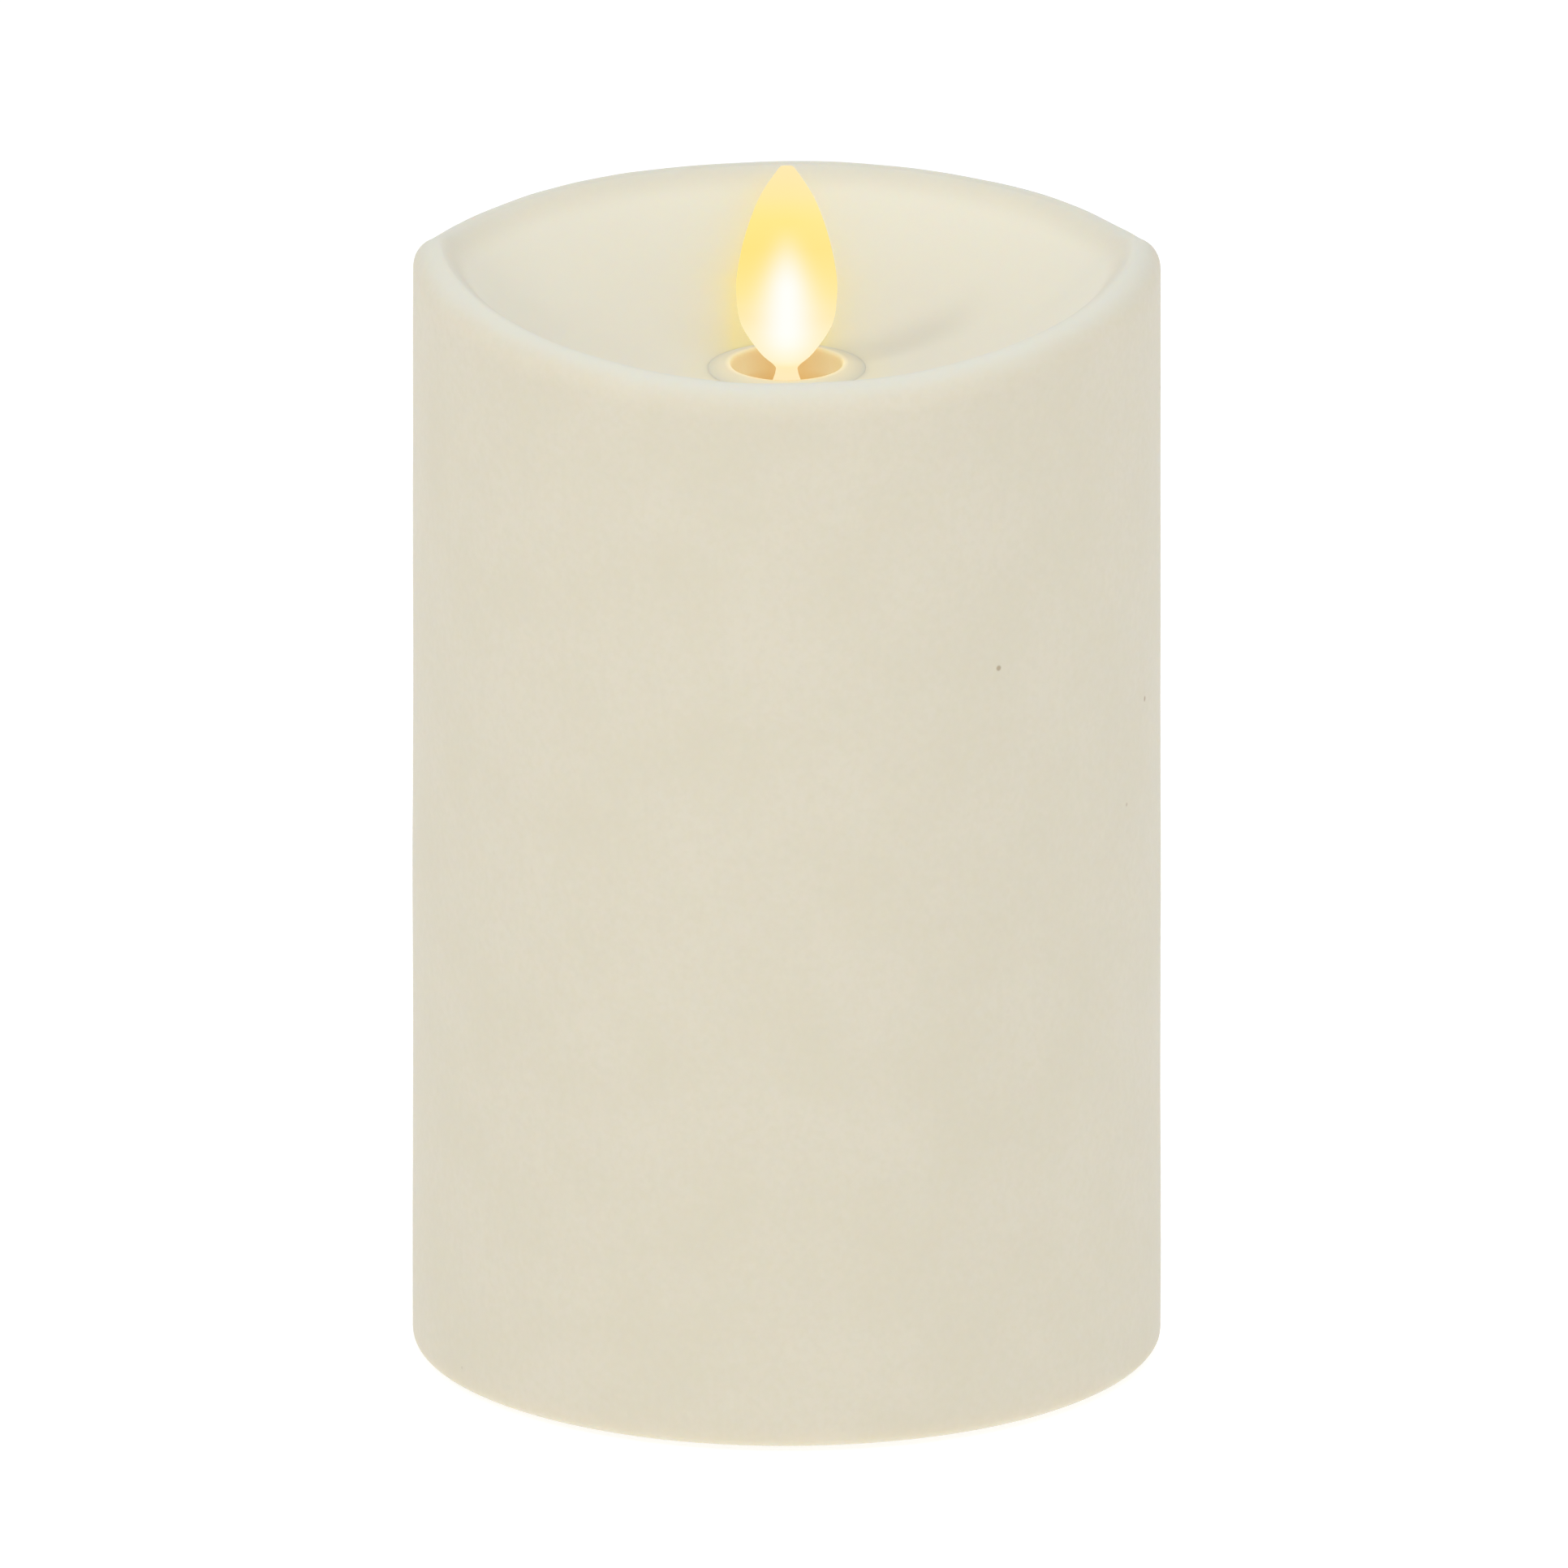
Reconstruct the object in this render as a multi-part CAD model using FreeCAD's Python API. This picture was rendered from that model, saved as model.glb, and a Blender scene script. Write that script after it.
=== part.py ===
"""A flameless candle: a wax pillar round a plastic core that makes a plastic flame sway and glow.

Frame: millimetres, +Z up, the origin on the floor at the pillar's axis, the front towards -Y.
The flame hangs on a wire along Y and swings from side to side. Two cells stand in the base,
behind a hinged door, beside a three-position slide switch.
"""

import FreeCAD
import Part

import math
import os

V = FreeCAD.Vector

SAME = 1e-6               # two heights closer than this are the same
NEAR = 1e-3               # a point this close to a surface lies on it
CUT_PAST = 1.0            # how far a cutting shape runs past what it cuts

# ---- wax pillar ---------------------------------------------------------------------------
PILLAR_D = 82.55          # outside diameter, 3 1/4 in
PILLAR_H = 127.0          # floor to the rim's two high sides, 5 in
WAX_WALL = 5.8            # wax round the core
WAX_LIFT = 0.6            # the feet hold the wax this far off the floor
WAX_EDGE = 0.8            # rounding of the wax's bottom edge
RIM_FRONT_DROP = 4.5      # the rim's front below its high sides
RIM_BACK_DROP = 3.0       # the rim's back below its high sides
LIP_R = 3.3               # rounding over the rim's outer edge
BRIM_FLAT = 1.2           # the rim between its two roundings
BRIM_R = 2.5              # rounding of the rim's inner edge
BRIM_LEAN = 3.0           # how far the bowl's wall leans out above the rim
BOWL_POWER = 2.6          # how late the bowl's wall steepens
BOWL_STEPS = (0, 0.2, 0.4, 0.6, 0.8, 1.0)
BOWL_DEPTH = 14.4         # rim's high sides to the bowl's floor
CROWN_T = 5.0             # wax between the bowl's floor and the core

# ---- core housing and base ----------------------------------------------------------------
CORE_GAP = 0.6            # glued gap between wax and core
CORE_WALL = 1.8
CORE_EDGE = 3.0           # rounding of the core's top edge
BASE_GAP = 0.3            # between the base plate and the wax
BASE_RAISE = 1.0          # floor to the base plate's underside
BASE_T = 2.5
SPIGOT_T = 1.4            # the base plate's ring that fits inside the core
SPIGOT_H = 3.0
SPIGOT_GAP = 0.2
FOOT_R = 3.2
FOOT_SINK = 0.6           # how deep a foot sits in the base plate
FOOT_EDGE_MARGIN = 1.0    # foot to the base plate's edge
FOOT_ANGLE = 22.0         # degrees from the X axis
BOSS_R = 3.2              # screw bosses in the core
BOSS_H = 14.0
BOSS_BITE = 0.8           # how deep a boss merges with the core's wall
BOSS_ANGLE = 62.0

# ---- screws -------------------------------------------------------------------------------
BIG_SCREW_R = 1.5         # thread radius of the base and box screws
BIG_HEAD_R = 2.7
BIG_HEAD_H = 1.3
BIG_SCREW_L = 9.0
SMALL_SCREW_R = 1.0       # the engine's and the board's screws
SMALL_HEAD_R = 1.9
SMALL_HEAD_H = 1.2
SMALL_SCREW_L = 6.0
SCREW_GAP = 0.3           # round a shank in a clearance hole
HEAD_GAP = 0.35
THREAD_GAP = 0.02         # between a thread and its pilot hole
HOLE_SPARE = 1.0          # pilot hole beyond its screw's tip
EAR_HOLE_SPARE = 0.5      # the same in the battery box's ears
MOUNT_HOLE_SPARE = 0.2    # the same in the engine's mounting bosses
HEAD_SHARE = 0.45         # a head's rounding and its recess's floor, as shares of its height
RECESS_REACH = 0.62       # a recess's arm, as a share of the head's radius
RECESS_HALF_W = 0.13      # its half width, likewise
TIP_SHARE = 0.3           # a screw's tip, as a share of its thread's radius

# ---- cells and their box ------------------------------------------------------------------
CELL_D = 26.2             # size C
CELL_L = 50.0
CELL_SPACE = 1.4          # between the two cells
CELL_GAP = 0.4            # cell to bay wall
CELL_SLEEVE = 0.15        # shrink sleeve's thickness
CELL_NUB_R = 3.4
CELL_NUB_H = 1.6
CELL_RIM = 0.7            # bevel of the can's ends
CELL_GROOVE_OUT = 2.2     # outer edge of the groove round the nub, from the nub
CELL_GROOVE_IN = 1.6      # where the groove reaches its depth
CELL_GROOVE_DEPTH = 0.5
CELL_NUB_EDGE = 0.3       # bevel of the nub
BAY_WALL = 1.4
BAY_ROOF = 1.5
BOX_WEB_Y = 9.2           # half width of the web that joins the two bays
BOX_EAR_R = 3.0
BOX_EAR_H = 8.0
BOX_EAR_ANGLE = 64.0      # from the +X axis about a bay's own axis
BOX_EAR_REACH = 4.6       # ear's axis from the bay's outside
BOX_RIB_HALF_T = 1.0      # rib from a bay to its ear
CONTACT_T = 0.4
CONTACT_W = 11.0
CONTACT_L = 8.8
CONTACT_REST = 0.1        # door contacts to the cells, closed
BRIDGE_W = 7.6
TAB_W = 3.0
TAB_H = 4.0               # solder tab above the roof
TAB_SLOT_GAP = 0.3
SPRING_H = 3.8            # pressed height
SPRING_WIRE_R = 0.35
SPRING_SMALL_R = 3.0
SPRING_BIG_R = 5.0
SPRING_TURNS = 3.0
SPRING_STEPS = 8          # points per turn, two to an arc

# ---- battery door -------------------------------------------------------------------------
OPENING_EXTRA = 0.5       # the opening's radius over the bay's
DOOR_GAP = 0.25
DOOR_T = 2.0
DOOR_RECESS = 0.2         # door face above the base plate's underside
HINGE_BACK = 4.0          # hinge pin behind the opening's edge
HINGE_TRIM = 0.55         # more room on the hinge side, where the door's edge turns inwards
HINGE_W = 16.0            # width of the door's knuckle
KNUCKLE_R = 1.3
PIN_R = 0.6
PIN_RUN_GAP = 0.08        # knuckle round its pin
PIN_HOLD_GAP = 0.02       # ears round the pin
EAR_W = 2.6
NOTCH_GAP = 0.4           # base plate round the knuckle
LATCH_ROOM = 0.4          # latch to the battery box
LATCH_H = 2.8             # latch above the door
LATCH_T = 1.0
LATCH_BACK = 0.4          # latch behind the door's edge, drawn pressed so that the door turns
LATCH_HOOK = 0.5
SLIT_W = 1.0              # slits that free the latch
SLIT_L = 3.5
THUMB_R = 7.0             # thumb recess in the base plate beside the latch
THUMB_DEPTH = 1.3
GRIP_RIBS = 5
GRIP_PITCH = 2.0
GRIP_H = 0.35
STAKE_R = 0.8             # stakes that hold the bridge on the door
STAKE_X = 5.0
STAKE_PROUD = 0.3
NOTCH_H = 0.5             # battery box over the bridge

# ---- slide switch -------------------------------------------------------------------------
SWITCH_Y = 25.0
SWITCH_L = 12.6
SWITCH_W = 6.0
SWITCH_H = 4.6
SWITCH_WALL = 0.9
SWITCH_TRAVEL = 4.0       # off, on and timer are 2 mm apart
KNOB_L = 5.0
KNOB_W = 4.6
KNOB_T = 1.2
KNOB_GAP = 0.3
KNOB_RIB_PITCH = 1.4
KNOB_RIB_HALF_W = 0.35
KNOB_RIB_H = 0.5          # a rib's height, and how far it stops short of the knob's edges
KNOB_POCKET = 1.5         # depth of the knob's pocket in the base plate
STEM_L = 2.4
STEM_W = 2.0
CARRIAGE_L = 4.4
CARRIAGE_H = 1.6
CLIP_GAP = 0.1            # base plate's hooks to the switch
CLIP_T = 1.0
CLIP_W = 3.6
TERMINAL_H = 2.5
TERMINALS = 4
TERMINAL_PITCH = 3.0
TERMINAL_HALF_W = 0.5
TERMINAL_HALF_T = 0.2

# ---- flame and its pendulum ---------------------------------------------------------------
FLAME_W = 11.14           # width at the belly
FLAME_H = 23.4            # tip above the bowl's floor
FLAME_BELLY = 0.37        # share of the height at which the flame is widest
FLAME_T = 2.4             # thickness at the belly
FLAME_TIP_T = 1.2
# the flank from tip to foot, as shares of the half width and of the height
FLAME_FLANK = (
    (0.18, 0.985), (0.55, 0.84), (0.82, 0.66), (0.97, 0.49), (1.0, FLAME_BELLY),
    (0.91, 0.22), (0.57, 0.09),
)
NECK_W = 2.4
NECK_FLARE = 1.15         # the neck at its top, as a share of its width
NECK_DROP = 0.5           # narrowest point below the bowl's floor
PIVOT_DROP = 13.1         # pivot wire below the bowl's floor
PIVOT_BOSS_R = 2.6
WIRE_R = 0.4
PIVOT_GAP = 0.08          # paddle round the wire
WIRE_OVERHANG = 0.3       # wire past its cross walls
TAIL_L = 16.0             # pivot to the magnet's top
TAIL_W = 3.2
MAGNET_R = 3.0
MAGNET_H = 3.0
CUP_WALL = 0.7
CUP_H = 1.2

# ---- collar -------------------------------------------------------------------------------
COLLAR_BORE_R = 6.15
COLLAR_WALL = 2.6
COLLAR_GAP = 0.2          # between collar and wax
COLLAR_PROUD = 0.6        # collar's crest over the bowl's floor
COLLAR_ROUND = 0.9
COLLAR_ROUND_MAX = 0.45   # the most the rounding takes, as a share of the collar's wall
SPOUT_STEP = 0.95         # the collar's lower end, in the core's top, is this much narrower
SPOUT_GAP = 0.1

# ---- light engine -------------------------------------------------------------------------
ENGINE_WALL = 1.5
ENGINE_END_ROOM = 1.0     # lamp block to the engine's end wall
ENGINE_FLOOR = 1.2
ENGINE_TOP_GAP = 0.2      # engine below the core's top
CROSS_IN = 3.6            # cross walls that carry the wire, from the middle
CROSS_T = 1.2
CROSS_DROP = 5.0          # cross walls reach this far below the pivot
COIL_GAP = 2.5            # magnet to coil
COIL_H = 6.5
COIL_R = 8.0
COIL_ROOM = 1.5           # coil to the engine's side walls
COIL_HUB_R = 3.0
COIL_BORE_R = 1.5
COIL_FLANGE = 0.8
COIL_FILL = 0.8           # winding inside the flange's edge
PEG_GAP = 0.1
LUG_R = 2.2               # lugs that hold the two halves together
LUG_HALF_L = 4.5
LUG_OUT = 2.0             # lug's axis outside the engine's wall
LUG_LOW = 5.0             # lower lugs above the engine's floor
LUG_HIGH = 2.0            # upper lugs below the pivot
MOUNT_OUT = 3.8           # mounting screw's axis outside the engine's side
MOUNT_T = 2.0
MOUNT_W = 7.0
MOUNT_DROP = 6.0          # mounting ear's top below the core's top
MOUNT_BOSS_R = 2.8
MOUNT_TRIM = 0.5          # mounting ear's end inside its boss's edge
WALL_CUT = 1.5            # half depth of a window's cut, in wall thicknesses
COIL_WINDOW_HALF_W = 1.2

# ---- lamps --------------------------------------------------------------------------------
LED_R = 1.5
LED_L = 5.3
LED_FLANGE_R = 1.9
LED_FLANGE_T = 1.0
LED_TIP_Y = 5.6           # lamp's tip from the axis
LED_TIP_DROP = 8.0        # lamp's tip below the bowl's floor
LED_AIM = 6.9             # where the lamps aim, above the bowl's floor
LED_GAP = 0.08
LED_BLOCK_X = 3.2
LED_BLOCK_OUT = 10.5
LED_BLOCK_H = 4.4
LEAD_R = 0.25
LEAD_PITCH = 1.27
LEAD_STUB = 1.6           # lead behind the lamp before it bends
LEAD_DROP = 3.0           # lead below its bend

# ---- circuit board ------------------------------------------------------------------------
BOARD_T = 1.6
BOARD_DROP = 13.2         # board's top below the core's top
BOARD_MARGIN = 3.5        # board's edge to the core's wall
BOARD_CUT_X = 0.6         # board round the engine's sides
BOARD_CUT_Y = 4.9         # board past the engine's lugs
POST_R = 2.4
POST_PCR = 24.5           # radius of the circle of posts
POST_ANGLE = 45.0
CHIP_OUT = 6.0            # chip's and crystal's axis from the board's window
CHIP_HALF_W = 2.0
CHIP_HALF_L = 4.4
CHIP_T = 1.5
CHIP_LIFT = 0.2           # chip's body off the board
CHIP_LEGS = 7             # on each side
LEG_OUT = 2.5             # a leg's middle from the chip's axis
LEG_HALF_L = 0.55
LEG_HALF_W = 0.2
LEG_H = 0.9
CAN_OUT = 5.5             # capacitors' axes from the board's window
CAN_R = 2.5
CAN_H = 7.0
CAN_Y = 5.0
RESISTORS = 4             # on each side
RESISTOR_OUT = 3.0        # their row from the board's window
RESISTOR_X = 5.5          # the first one's middle
RESISTOR_PITCH = 1.9
RESISTOR_HALF_W = 0.6
RESISTOR_HALF_L = 1.0
RESISTOR_T = 0.5
TRANSISTOR_OUT = 7.0      # their row from the board's window
TRANSISTOR_PITCH = 5.0
TRANSISTOR_HALF_L = 1.45
TRANSISTOR_HALF_W = 0.65
TRANSISTOR_T = 1.1
CRYSTAL_R = 1.0
CRYSTAL_L = 6.0
CRYSTAL_Y = 7.4

# ---- wiring -------------------------------------------------------------------------------
LAMP_WIRE_R = 0.55
COIL_WIRE_R = 0.35
POWER_WIRE_R = 0.75
SWITCH_WIRE_R = 0.6
SWITCH_WIRES = 3
BEND_SHARE = 0.45         # the most of a straight run that a bend takes
FIRST_BEND = 0.3          # a long wire's bends, as shares of its rise
LAST_BEND = 0.65
WINDOW_H = 3.0            # where wires leave the engine
WINDOW_DROP = 1.0         # window's top below the board
LAMP_WIRE_DROP = 2.5      # lamp wires' run below the board
LAMP_WIRE_SAG = 0.4
LAMP_WIRE_EXIT = 1.0      # their bend outside the engine
LAMP_PAD_OUT = 1.5        # solder pads from the board's window
COIL_PAD_OUT = 2.0
COIL_WIRE_RISE = 0.8      # coil wires above the lower flange
POWER_PAD_OUT = 7.9
POWER_PAD_Y = 11.0
SWITCH_PAD_OUT = 5.5
SWITCH_PAD_X = 1.0
GLUE_W = 14.0             # degrees of arc of a glue bead
GLUE_H = 70.0

# ---- worked out from the above ------------------------------------------------------------
PILLAR_R = PILLAR_D / 2
BORE_R = PILLAR_R - WAX_WALL
CORE_R = BORE_R - CORE_GAP
COLLAR_R = COLLAR_BORE_R + COLLAR_WALL
SPOUT_R = COLLAR_R - SPOUT_STEP
CORE_IN_R = CORE_R - CORE_WALL
FLOOR_Z = PILLAR_H - BOWL_DEPTH           # the bowl's floor
CAVITY_Z = FLOOR_Z - CROWN_T              # top of the wax's cavity
CORE_TOP_Z = CAVITY_Z - CORE_GAP
CORE_CEIL_Z = CORE_TOP_Z - CORE_WALL      # underside of the core's top
BASE_TOP_Z = BASE_RAISE + BASE_T
BASE_R = BORE_R - BASE_GAP
BOSS_PCR = CORE_IN_R - BOSS_R + BOSS_BITE
BAY_X = (CELL_D + CELL_SPACE) / 2
BAY_R = CELL_D / 2 + CELL_GAP
BAY_OUT_R = BAY_R + BAY_WALL
BOX_EAR_OFFSET = BAY_OUT_R + BOX_EAR_REACH
OPENING_R = BAY_R + OPENING_EXTRA
DOOR_R = OPENING_R - DOOR_GAP
LATCH_Y = DOOR_R - LATCH_BACK - LATCH_HOOK - LATCH_T
LATCH_HALF_W = BAY_X - math.sqrt(BAY_OUT_R ** 2 - (LATCH_Y - LATCH_ROOM) ** 2)
DOOR_Z = BASE_RAISE + DOOR_RECESS
DOOR_TOP_Z = DOOR_Z + DOOR_T
HINGE_Z = DOOR_Z + KNUCKLE_R
BRIDGE_TOP_Z = DOOR_TOP_Z + CONTACT_T
LOW_CELL_Z = BRIDGE_TOP_Z + CONTACT_REST  # the cell whose nub points down
HIGH_CELL_Z = LOW_CELL_Z + SPRING_H       # the cell whose nub points up
CEILING_Z = HIGH_CELL_Z + CELL_L + CONTACT_T
BOX_TOP_Z = CEILING_Z + BAY_ROOF
HINGE_Y = -(OPENING_R + HINGE_BACK)
ENGINE_X = COIL_R + COIL_ROOM + ENGINE_WALL         # half width
ENGINE_Y = LED_BLOCK_OUT + ENGINE_END_ROOM + ENGINE_WALL    # half depth
PIVOT_Z = FLOOR_Z - PIVOT_DROP
MAGNET_TOP_Z = PIVOT_Z - TAIL_L
COIL_TOP_Z = MAGNET_TOP_Z - MAGNET_H - COIL_GAP
COIL_Z = COIL_TOP_Z - COIL_H
ENGINE_Z = COIL_Z - ENGINE_FLOOR
ENGINE_TOP_Z = CORE_CEIL_Z - ENGINE_TOP_GAP
MOUNT_TOP_Z = CORE_TOP_Z - MOUNT_DROP - CORE_WALL
COIL_WIRE_X = COIL_R - COIL_FILL + COIL_WIRE_R
BOARD_TOP_Z = CORE_CEIL_Z - BOARD_DROP
BOARD_Z = BOARD_TOP_Z - BOARD_T
BOARD_R = CORE_IN_R - BOARD_MARGIN


# ---- helpers ------------------------------------------------------------------------------
def cylinder(radius, low, high, x=0.0, y=0.0):
    """An upright cylinder."""
    return Part.makeCylinder(radius, high - low, V(x, y, low))


def ring(outer, inner, low, high, x=0.0, y=0.0):
    """An upright tube."""
    return cylinder(outer, low, high, x, y).cut(cylinder(inner, low, high, x, y))


def box(x0, x1, y0, y1, z0, z1):
    """A box between two corners."""
    return Part.makeBox(x1 - x0, y1 - y0, z1 - z0, V(x0, y0, z0))


def block(x, y, half_x, half_y, z0, z1):
    """A box centred on x, y."""
    return box(x - half_x, x + half_x, y - half_y, y + half_y, z0, z1)


def obround(half_pitch, radius, low, high):
    """A slot shape along X, round at both ends."""
    middle = block(0, 0, half_pitch, radius, low, high)
    ends = [cylinder(radius, low, high, s * half_pitch) for s in (-1, 1)]
    return middle.multiFuse(ends).removeSplitter()


def turned(points):
    """The solid that a closed outline of (radius, height) points makes about Z."""
    corners = [V(r, 0, z) for r, z in points]
    face = Part.Face(Part.makePolygon(corners + corners[:1]))
    return face.revolve(V(0, 0, 0), V(0, 0, 1), 360)


def along(shape, start, direction):
    """A shape made about Z at the origin, moved to start with its Z along direction."""
    placed = shape.copy()
    turn = FreeCAD.Rotation(V(0, 0, 1), direction)
    placed.Placement = FreeCAD.Placement(start, turn)
    return placed


def screw(thread_r, head_r, head_h, length):
    """A pan-head screw whose head sits on Z 0 and whose thread points up, with a cross recess."""
    head = cylinder(head_r, -head_h, 0)
    rim = [e for e in head.Edges if abs(e.CenterOfMass.z + head_h) < SAME and len(e.Vertexes) == 1]
    head = head.makeFillet(head_h * HEAD_SHARE, rim)
    shank = cylinder(thread_r, 0, length - thread_r)
    tip = Part.makeCone(thread_r, thread_r * TIP_SHARE, thread_r, V(0, 0, length - thread_r))
    arm = head_r * RECESS_REACH
    half = head_r * RECESS_HALF_W
    floor = -head_h * HEAD_SHARE
    cross = block(0, 0, arm, half, -head_h, floor).fuse(block(0, 0, half, arm, -head_h, floor))
    return head.cut(cross).multiFuse([shank, tip])


def big_screw():
    """A screw of the base plate or the battery box."""
    return screw(BIG_SCREW_R, BIG_HEAD_R, BIG_HEAD_H, BIG_SCREW_L)


def small_screw():
    """A screw of the engine or the board."""
    return screw(SMALL_SCREW_R, SMALL_HEAD_R, SMALL_HEAD_H, SMALL_SCREW_L)


def tube(points, radius):
    """A wire through points: straight runs joined by tangent arcs as large as the runs allow."""
    places = [V(*p) for p in points]
    edges = []
    start = places[0]
    for before, corner, after in zip(places, places[1:], places[2:]):
        back = (before - corner).normalize()
        ahead = (after - corner).normalize()
        half_turn = (math.pi - back.getAngle(ahead)) / 2
        reach = BEND_SHARE * min((before - corner).Length, (after - corner).Length)
        bend_r = reach / math.tan(half_turn)
        first = corner + back * reach
        last = corner + ahead * reach
        to_middle = (back + ahead).normalize()
        middle = corner + to_middle * (bend_r / math.cos(half_turn) - bend_r)
        edges.append(Part.LineSegment(start, first).toShape())
        edges.append(Part.Arc(first, middle, last).toShape())
        start = last
    edges.append(Part.LineSegment(start, places[-1]).toShape())
    path = Part.Wire(edges)
    section = Part.Wire([Part.Circle(places[0], places[1] - places[0], radius).toShape()])
    return path.makePipeShell([section], True, True)


def across(radius, length, x, y, z):
    """A cylinder along X from x."""
    return Part.makeCylinder(radius, length, V(x, y, z), V(1, 0, 0))


def coil_spring(x, low, high, big_at_top):
    """A pressed conical spring between two heights, its wide end at the plate that carries it."""
    rise = high - low - 2 * SPRING_WIRE_R
    steps = int(SPRING_TURNS * SPRING_STEPS)
    places = []
    for i in range(steps + 1):
        share = i / steps
        radius = SPRING_SMALL_R + (SPRING_BIG_R - SPRING_SMALL_R) * share
        turn = 2 * math.pi * SPRING_TURNS * share
        height = share if big_at_top else 1 - share
        z = low + SPRING_WIRE_R + rise * height
        places.append(V(x + radius * math.cos(turn), radius * math.sin(turn), z))
    arcs = [Part.Arc(*places[i:i + 3]).toShape() for i in range(0, steps, 2)]
    first = arcs[0]
    section = Part.Circle(places[0], first.tangentAt(first.FirstParameter), SPRING_WIRE_R)
    return Part.Wire(arcs).makePipeShell([Part.Wire([section.toShape()])], True, True)


def around(angle, radius):
    """The four points at plus and minus this angle from both ends of the X axis."""
    x = radius * math.cos(math.radians(angle))
    y = radius * math.sin(math.radians(angle))
    return [(x, y), (-x, y), (-x, -y), (x, -y)]


# ---- wax pillar ---------------------------------------------------------------------------
def rim_height(x, y):
    """The rim's height before it is rounded: an arc across X, lower in front than at the back."""
    middle = PILLAR_H - (RIM_FRONT_DROP + RIM_BACK_DROP) / 2
    rise = PILLAR_H - middle
    radius = (PILLAR_R ** 2 + rise ** 2) / (2 * rise)
    slope = (RIM_FRONT_DROP - RIM_BACK_DROP) / PILLAR_D
    return middle + radius - math.sqrt(radius ** 2 - x ** 2) + slope * y


def above_rim():
    """Everything over the rim's saddle, which is cut off the pillar."""
    reach = PILLAR_R + CUT_PAST
    crest = [V(x, -reach, rim_height(x, -reach)) for x in (-reach, 0, reach)]
    roof = [V(reach, -reach, PILLAR_H + reach), V(-reach, -reach, PILLAR_H + reach)]
    edges = [Part.Arc(*crest).toShape()]
    corners = [crest[-1]] + roof + [crest[0]]
    edges += [Part.LineSegment(a, b).toShape() for a, b in zip(corners, corners[1:])]
    slope = (RIM_FRONT_DROP - RIM_BACK_DROP) / PILLAR_D
    return Part.Face(Part.Wire(edges)).extrude(V(0, 2 * reach, 2 * reach * slope))


def bowl():
    """The hollow that looks melted: flat at the collar, ever steeper up to the rim."""
    hole_r = COLLAR_R + COLLAR_GAP
    brim_r = PILLAR_R - LIP_R - BRIM_FLAT
    top = PILLAR_H + BOWL_DEPTH
    rise = PILLAR_H - FLOOR_Z
    steps = [V(hole_r + (brim_r - hole_r) * t, 0, FLOOR_Z + rise * t ** BOWL_POWER) for t in BOWL_STEPS]
    curve = Part.BSplineCurve()
    curve.interpolate(steps)
    corners = [steps[-1], V(brim_r + BRIM_LEAN, 0, top), V(0, 0, top), V(0, 0, FLOOR_Z), steps[0]]
    edges = [curve.toShape()] + [Part.LineSegment(a, b).toShape() for a, b in zip(corners, corners[1:])]
    return Part.Face(Part.Wire(edges)).revolve(V(0, 0, 0), V(0, 0, 1), 360)


def wax_shell():
    """The pillar: a wall with a melted-looking rim, low in front, and a bowl down to the collar."""
    body = cylinder(PILLAR_R, WAX_LIFT, PILLAR_H + CUT_PAST)
    body = body.cut(above_rim()).cut(bowl())
    outer = [e for e in body.Edges if is_rim_edge(e, PILLAR_R)]
    body = body.makeFillet(LIP_R, outer)
    inner = [e for e in body.Edges if is_brim_edge(e)]
    body = body.makeFillet(BRIM_R, inner)
    foot = [e for e in body.Edges if abs(e.CenterOfMass.z - WAX_LIFT) < SAME and len(e.Vertexes) == 1]
    body = body.makeFillet(WAX_EDGE, foot)
    hole = cylinder(COLLAR_R + COLLAR_GAP, WAX_LIFT, PILLAR_H)
    return body.cut(cylinder(BORE_R, 0, CAVITY_Z).fuse(hole))


def is_rim_edge(edge, radius):
    """Whether an edge runs round the top of the pillar's outside."""
    point = edge.valueAt((edge.FirstParameter + edge.LastParameter) / 2)
    return point.z > FLOOR_Z and abs(math.hypot(point.x, point.y) - radius) < NEAR and not straight(edge)


def is_brim_edge(edge):
    """Whether an edge is the bowl's upper edge, inside the rounded rim."""
    point = edge.valueAt((edge.FirstParameter + edge.LastParameter) / 2)
    reach = math.hypot(point.x, point.y)
    on_saddle = abs(point.z - rim_height(point.x, point.y)) < NEAR
    return on_saddle and reach < PILLAR_R - LIP_R - NEAR


def straight(edge):
    """Whether an edge is a straight seam."""
    return edge.Curve.TypeId == "Part::GeomLine"


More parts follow.
